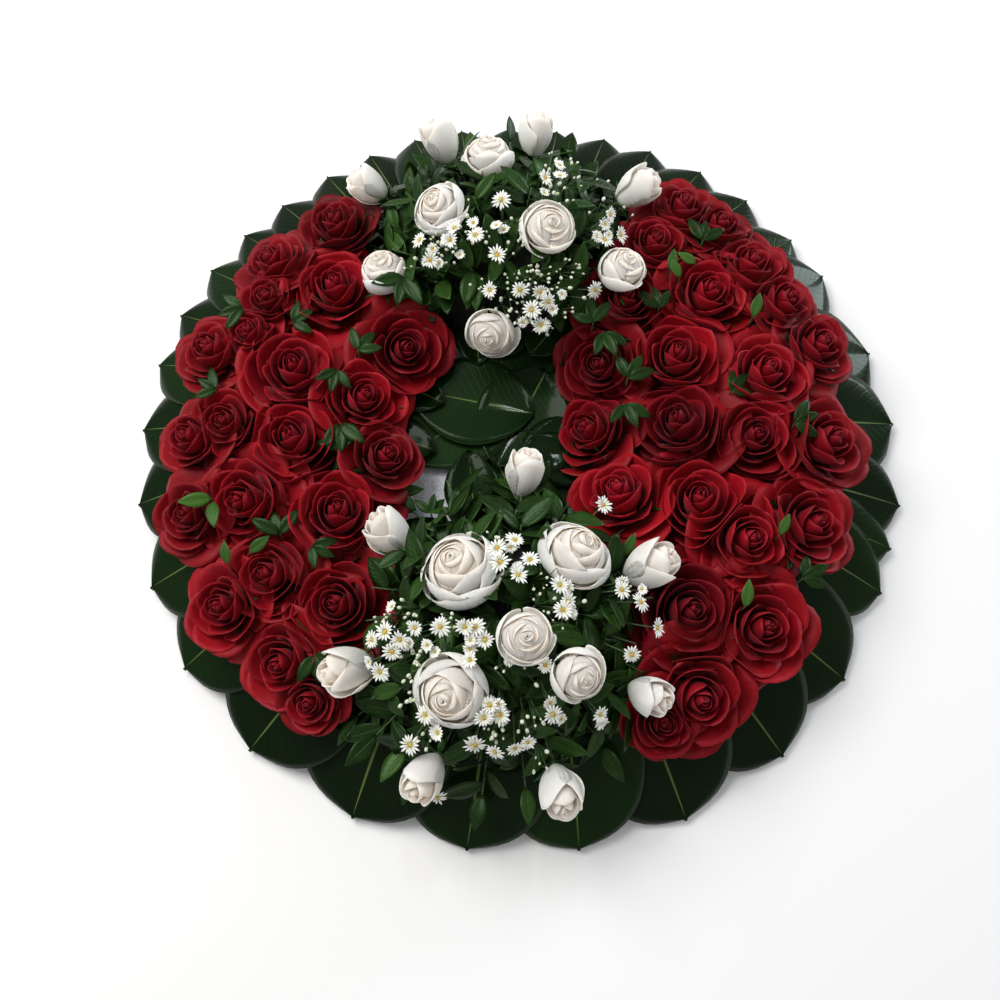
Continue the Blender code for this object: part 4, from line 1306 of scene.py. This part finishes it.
ground_draw = random.Random(GROUND_SEED)
blades = new_blades()
laid = 0
for number, (radius, count) in enumerate(GROUND_RINGS):
    for k in range(count):
        turn = 2 * math.pi * (k + 0.5 * (number % 2)) / count + ground_draw.uniform(-0.08, 0.08)
        place = (math.cos(turn) * radius, math.sin(turn) * radius)
        if over_the_middle(place) or hides_foam(Vector((*place, BASE_HEIGHT)), BARE_FOAM_MARGIN):
            continue
        heading = turn + ground_draw.uniform(-0.5, 0.5)
        level = BASE_HEIGHT + GROUND_LIFT + RING_STEP * number + LAP_STEP * (k % 2)
        shape = flat_leaf_shape(place, heading, *GROUND_LEAF, level, ground_draw)
        add_blade(blades, 6, 10, ground_draw.random(), shape)
        laid += 1
for point, heading in GAP_LEAVES:
    place = place_at_height(point, BASE_HEIGHT)
    level = BASE_HEIGHT + GAP_LIFT
    shape = flat_leaf_shape(place, math.radians(heading), *GAP_LEAF, level, ground_draw)
    add_blade(blades, 6, 10, ground_draw.random(), shape)
    laid += 1
finish_piece(blades, "bank_ground_leaves", big_leaf_finish, thickness=LEAF_THICKNESS)
print(laid, "leaves laid over the foam")

# %% [markdown]
# ## Twigs between the red roses
# Short leafy twigs stand in the foam between the heads, made by the same helper as the
# sprays' twigs. Their places are random, and the helper leaves out what would show in
# the wrong place.

# %% Standing bank leaves
BANK_TWIGS = 110
BANK_TWIG_LEAVES = 4
BANK_LEAF_LENGTH = 0.036
BANK_ROOT_LIMIT = 0.272
BANK_MIDDLE_MARGIN = 0.020
BANK_TWIG_SINK = 0.002
BANK_TWIG_FROM = 0.09
BANK_TWIG_BAND = 0.21
BANK_TWIG_HEIGHT = (0.030, 0.044)

leaves = new_blades()
stems = bmesh.new()
placed = 0
for _ in range(BANK_TWIGS):
    turn = math.radians(ground_draw.uniform(0, 360))
    radius = BANK_TWIG_FROM + BANK_TWIG_BAND * ground_draw.random() ** 0.7
    across = math.cos(turn)
    up = math.sin(turn)
    held = min(radius, BANK_ROOT_LIMIT)
    start = Vector((across * held, up * held, BASE_HEIGHT - BANK_TWIG_SINK))
    if over_the_middle(start, BANK_MIDDLE_MARGIN):
        continue
    out = Vector((across, up, 0))
    rise = Vector((0, 0, ground_draw.uniform(*BANK_TWIG_HEIGHT)))
    end = start + out * (radius - 0.2) * 0.25 + rise
    placed += add_twig(
        leaves, stems, start, end, out, ground_draw, BANK_TWIG_LEAVES, BANK_LEAF_LENGTH
    )
finish_piece(leaves, "bank_twig_leaves", small_leaf_finish, thickness=LEAF_THICKNESS)
finish_piece(stems, "bank_twigs", stalk_finish)
print(placed, "standing leaves")

# %% [markdown]
# ## Asters
# The small white daisies have fifteen narrow rays round a yellow eye. Each head
# sits on a thin stalk that runs into its spray. Their places are read from the
# photograph, and a line of sight finds where each one meets the dome of leaves.

# %% Aster heads
ASTER_RADIUS = 0.0102
ASTER_RAYS = 15
RAY_WIDTH = 0.0021
RAY_THICKNESS = 0.0004
SECOND_ASTER_SIZE = 0.68
ASTER_SINK = 0.006
OFF_DOME_HEIGHT = 0.080
SIGHT_HEIGHTS = (0.22, 0.05)
ASTER_SEED = 51
ASTERS = {
    "top": [
        (501, 200), (450, 240), (475, 235), (497, 255), (430, 260), (540, 292), (548, 302), (532, 310),
        (541, 325), (490, 290), (595, 290), (610, 215), (620, 235), (545, 178), (560, 176), (420, 240),
        (605, 240), (455, 228), (520, 290),
    ],
    "bottom": [
        (440, 627), (465, 627), (475, 627), (385, 632), (400, 640), (415, 628), (392, 652), (497, 548),
        (515, 540), (530, 560), (518, 575), (545, 635), (563, 610), (545, 665), (510, 645), (470, 660),
        (490, 705), (500, 715), (484, 718), (425, 715), (475, 745), (495, 752), (553, 715), (603, 505),
        (410, 745), (600, 715), (380, 672), (437, 797), (515, 748), (560, 585), (485, 640), (372, 640),
        (500, 562), (641, 602), (657, 628), (622, 590), (568, 602), (438, 733), (462, 700), (632, 655),
    ],
}


def on_dome(where, point, lift):
    """Where the line of sight through a point first meets a spray's dome of leaves."""
    centre, size = SPRAY_DOMES[where]
    size = size + Vector((lift, lift, lift))
    near = place_at_height(point, SIGHT_HEIGHTS[0])
    ray = (place_at_height(point, SIGHT_HEIGHTS[1]) - near).normalized()
    from_centre = near - centre
    start = Vector([from_centre[i] / size[i] for i in range(3)])
    step = Vector([ray[i] / size[i] for i in range(3)])
    a, b, c = step.dot(step), 2 * start.dot(step), start.dot(start) - 1
    inside = b * b - 4 * a * c
    if inside < 0:
        return None
    return near + ray * ((-b - math.sqrt(inside)) / (2 * a))


def add_aster(rays, eyes, stems, where, place, draw, size=1.0):
    """One head on its stalk: a ring of rays, and a flattened ball for its eye."""
    centre, _ = SPRAY_DOMES[where]
    out = (place - centre).normalized()
    axis = (out + Vector((draw.uniform(-0.6, 0.6), draw.uniform(-0.6, 0.6), 0.4))).normalized()
    side = side_of(axis)
    other = axis.cross(side)
    turn = draw.uniform(0, ANY_PHASE)
    cup = draw.uniform(0.0, 0.5)
    radius = ASTER_RADIUS * size * draw.uniform(0.82, 1.10)
    for k in range(ASTER_RAYS):
        angle = turn + 2 * math.pi * k / ASTER_RAYS + draw.uniform(-0.06, 0.06)
        spoke = side * math.cos(angle) + other * math.sin(angle)
        direction = (spoke + axis * (cup + draw.uniform(-0.14, 0.14))).normalized()
        root = place + spoke * radius * 0.16
        length = radius * draw.uniform(0.62, 0.92)
        shape = small_leaf_shape(root, direction, axis, length, RAY_WIDTH, 0.10, 0.2, 1.3)
        add_blade(rays, 2, 4, draw.random(), shape)
    turned = axis.to_track_quat("Z", "Y").to_matrix().to_4x4()
    flat = Matrix.Diagonal((1, 1, 0.55, 1))
    put = Matrix.Translation(place) @ turned @ flat
    bmesh.ops.create_icosphere(eyes, subdivisions=2, radius=radius * 0.20, matrix=put)
    add_rod(stems, on_core(where, place, ASTER_SINK), place, 0.0009, 0.0006, 4)


aster_nodes = sorted(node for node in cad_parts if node.startswith("aster_sprig"))
for where, points in ASTERS.items():
    aster_draw = random.Random(ASTER_SEED)
    rays = new_blades()
    eyes = bmesh.new()
    stems = bmesh.new()
    for point in points:
        place = on_dome(where, point, 0.008 + aster_draw.uniform(0, 0.006))
        if place is None:
            place = place_at_height(point, OFF_DOME_HEIGHT)
        add_aster(rays, eyes, stems, where, place, aster_draw)
        for _ in range(aster_draw.choice((0, 1, 1, 2))):
            beside = (point[0] + aster_draw.gauss(0, 13), point[1] + aster_draw.gauss(0, 11))
            place = on_dome(where, beside, aster_draw.uniform(0, 0.010))
            if place is None or in_a_rose(place, 0.004):
                continue
            add_aster(rays, eyes, stems, where, place, aster_draw, SECOND_ASTER_SIZE)
    own_nodes = [node for node in aster_nodes if where in node]
    finish_piece(rays, f"aster_rays_{where}", ray_finish, own_nodes, RAY_THICKNESS)
    finish_piece(eyes, f"aster_eyes_{where}", eye_finish)
    finish_piece(stems, f"aster_stalks_{where}", stalk_finish)
    print(where, "spray:", len(points), "asters read from the photograph")

# %% [markdown]
# Unopened aster buds stand in loose tufts near the open heads. The side stalks of a
# tuft start from one stem, and each bud is a small ball drawn out along its stalk.

# %% Aster buds
TUFTS = 46
TUFT_DEPTH = 0.022
LOWEST_TUFT = 0.075
BUD_STRETCH = 1.5
BUD_SEED = 61

for where, points in ASTERS.items():
    bud_draw = random.Random(BUD_SEED)
    buds = bmesh.new()
    stems = bmesh.new()
    for _ in range(TUFTS):
        near = bud_draw.choice(points)
        middle = (near[0] + bud_draw.gauss(0, 22), near[1] + bud_draw.gauss(0, 18))
        top = on_dome(where, middle, 0.004)
        if top is None or in_a_rose(top, 0.004) or top.z < LOWEST_TUFT:
            continue
        root = top - (top - on_core(where, top, 0.0)).normalized() * TUFT_DEPTH
        add_rod(stems, on_core(where, top, 0.004), root, 0.0007, 0.0006, 4)
        for _ in range(bud_draw.randint(3, 7)):
            beside = (middle[0] + bud_draw.gauss(0, 7), middle[1] + bud_draw.gauss(0, 7))
            place = on_dome(where, beside, bud_draw.uniform(-0.002, 0.010))
            if place is None or in_a_rose(place, 0.002):
                continue
            turned = (place - root).to_track_quat("Z", "Y").to_matrix().to_4x4()
            put = Matrix.Translation(place) @ turned @ Matrix.Diagonal((1, 1, BUD_STRETCH, 1))
            size = bud_draw.uniform(0.0010, 0.0021)
            bmesh.ops.create_icosphere(buds, subdivisions=1, radius=size, matrix=put)
            add_rod(stems, root, place, 0.0005, 0.0004, 4)
    finish_piece(buds, f"aster_buds_{where}", bud_finish)
    finish_piece(stems, f"aster_bud_stalks_{where}", stalk_finish)
print("buds scattered")

# %% [markdown]
# ## Young bright leaves
# A few light green leaves stick up between the flowers, where the photograph shows
# them. Each is its point in the picture, at the height of the petals, and the way it
# points, in degrees. Its stalk stands in the foam and bends where the leaf begins.

# %% Bright leaves
BRIGHT_LEAVES = [
    ((757, 305), 70), ((688, 258), 160), ((196, 500), 200), ((258, 545), 30), ((225, 553), 100),
    ((785, 525), 60), ((748, 594), 80), ((380, 530), 130), ((630, 545), 60), ((676, 268), 120),
    ((673, 260), 80), ((447, 655), 85), ((520, 692), 20), ((212, 512), 280),
]
BRIGHT_HEIGHT = 0.112
BRIGHT_SLOPE = (0.8, 0.45)
STALK_ROOT = BASE_HEIGHT - 0.002
BRIGHT_SEED = 71

bright_draw = random.Random(BRIGHT_SEED)
leaves = new_blades()
stems = bmesh.new()
for point, heading in BRIGHT_LEAVES:
    middle = place_at_height(point, BRIGHT_HEIGHT)
    turn = math.radians(heading)
    level, climb = BRIGHT_SLOPE
    way = Vector((math.cos(turn) * level, math.sin(turn) * level, climb)).normalized()
    facing = Vector((0, -0.4, 0.9))
    length = bright_draw.uniform(0.021, 0.033)
    root = middle - way * length / 2
    shape = small_leaf_shape(root, way, facing, length, length * 0.46, 0.25)
    add_blade(leaves, 4, 7, bright_draw.random(), shape)
    bend = Vector((root.x, root.y, (root.z + BASE_HEIGHT) / 2))
    add_rod(stems, bend, root + way * 0.001, 0.0008, 0.0006, 4)
    add_rod(stems, Vector((bend.x, bend.y, STALK_ROOT)), bend, 0.0009, 0.0008, 4)
finish_piece(leaves, "bright_leaves", bright_leaf_finish, thickness=LEAF_THICKNESS)
finish_piece(stems, "bright_leaf_stalks", stalk_finish)
print(len(BRIGHT_LEAVES), "bright leaves")

# %% [markdown]
# ## Dark tufts in the gaps
# Between some roses the photograph shows small dark leaves that lie over the petals.
# Each tuft is three leaves that fan out from one stalk. It is given as its point in
# the picture, its height in millimetres, the way it points in degrees, and the length
# of its leaves in millimetres.

# %% Dark tufts
DARK_TUFTS = [
    ((242, 308), 100, 200, 26), ((293, 322), 102, 20, 24), ((337, 370), 112, 250, 26),
    ((358, 350), 104, 60, 28), ((215, 390), 98, 160, 24), ((340, 424), 102, 280, 30),
    ((346, 446), 100, 120, 28), ((280, 534), 103, 100, 28), ((312, 546), 102, 330, 26),
    ((314, 655), 100, 290, 28), ((703, 240), 102, 80, 28), ((659, 308), 104, 100, 28),
    ((628, 378), 102, 60, 28), ((626, 404), 101, 290, 26), ((731, 390), 103, 40, 24),
    ((795, 423), 102, 10, 30), ((593, 322), 110, 100, 28), ((604, 332), 108, 290, 28),
    ((803, 578), 98, 20, 26), ((404, 277), 128, 250, 33), ((508, 604), 140, 70, 34),
    ((498, 616), 136, 200, 34), ((398, 492), 74, 8, 24), ((431, 513), 76, 85, 22),
    ((548, 572), 142, 60, 32),
]
TUFT_FAN = (-48, 0, 48)
TUFT_SEED = 73

tuft_draw = random.Random(TUFT_SEED)
leaves = new_blades()
stems = bmesh.new()
for point, height, heading, reach in DARK_TUFTS:
    root = place_at_height(point, height / 1000)
    for spread in TUFT_FAN:
        turn = math.radians(heading + spread + tuft_draw.uniform(-12, 12))
        way = Vector((math.cos(turn), math.sin(turn), tuft_draw.uniform(0.05, 0.30))).normalized()
        facing = Vector((0, -0.3, 0.95))
        length = reach / 1000 * tuft_draw.uniform(0.85, 1.1)
        shape = small_leaf_shape(root, way, facing, length, length * 0.44, 0.2)
        add_blade(leaves, 4, 7, tuft_draw.uniform(0.0, 0.6), shape)
    add_rod(stems, Vector((root.x, root.y, STALK_ROOT)), root, 0.0010, 0.0008, 4)
finish_piece(leaves, "dark_tuft_leaves", small_leaf_finish, thickness=LEAF_THICKNESS)
finish_piece(stems, "dark_tuft_stalks", stalk_finish)
print(len(DARK_TUFTS), "dark tufts")
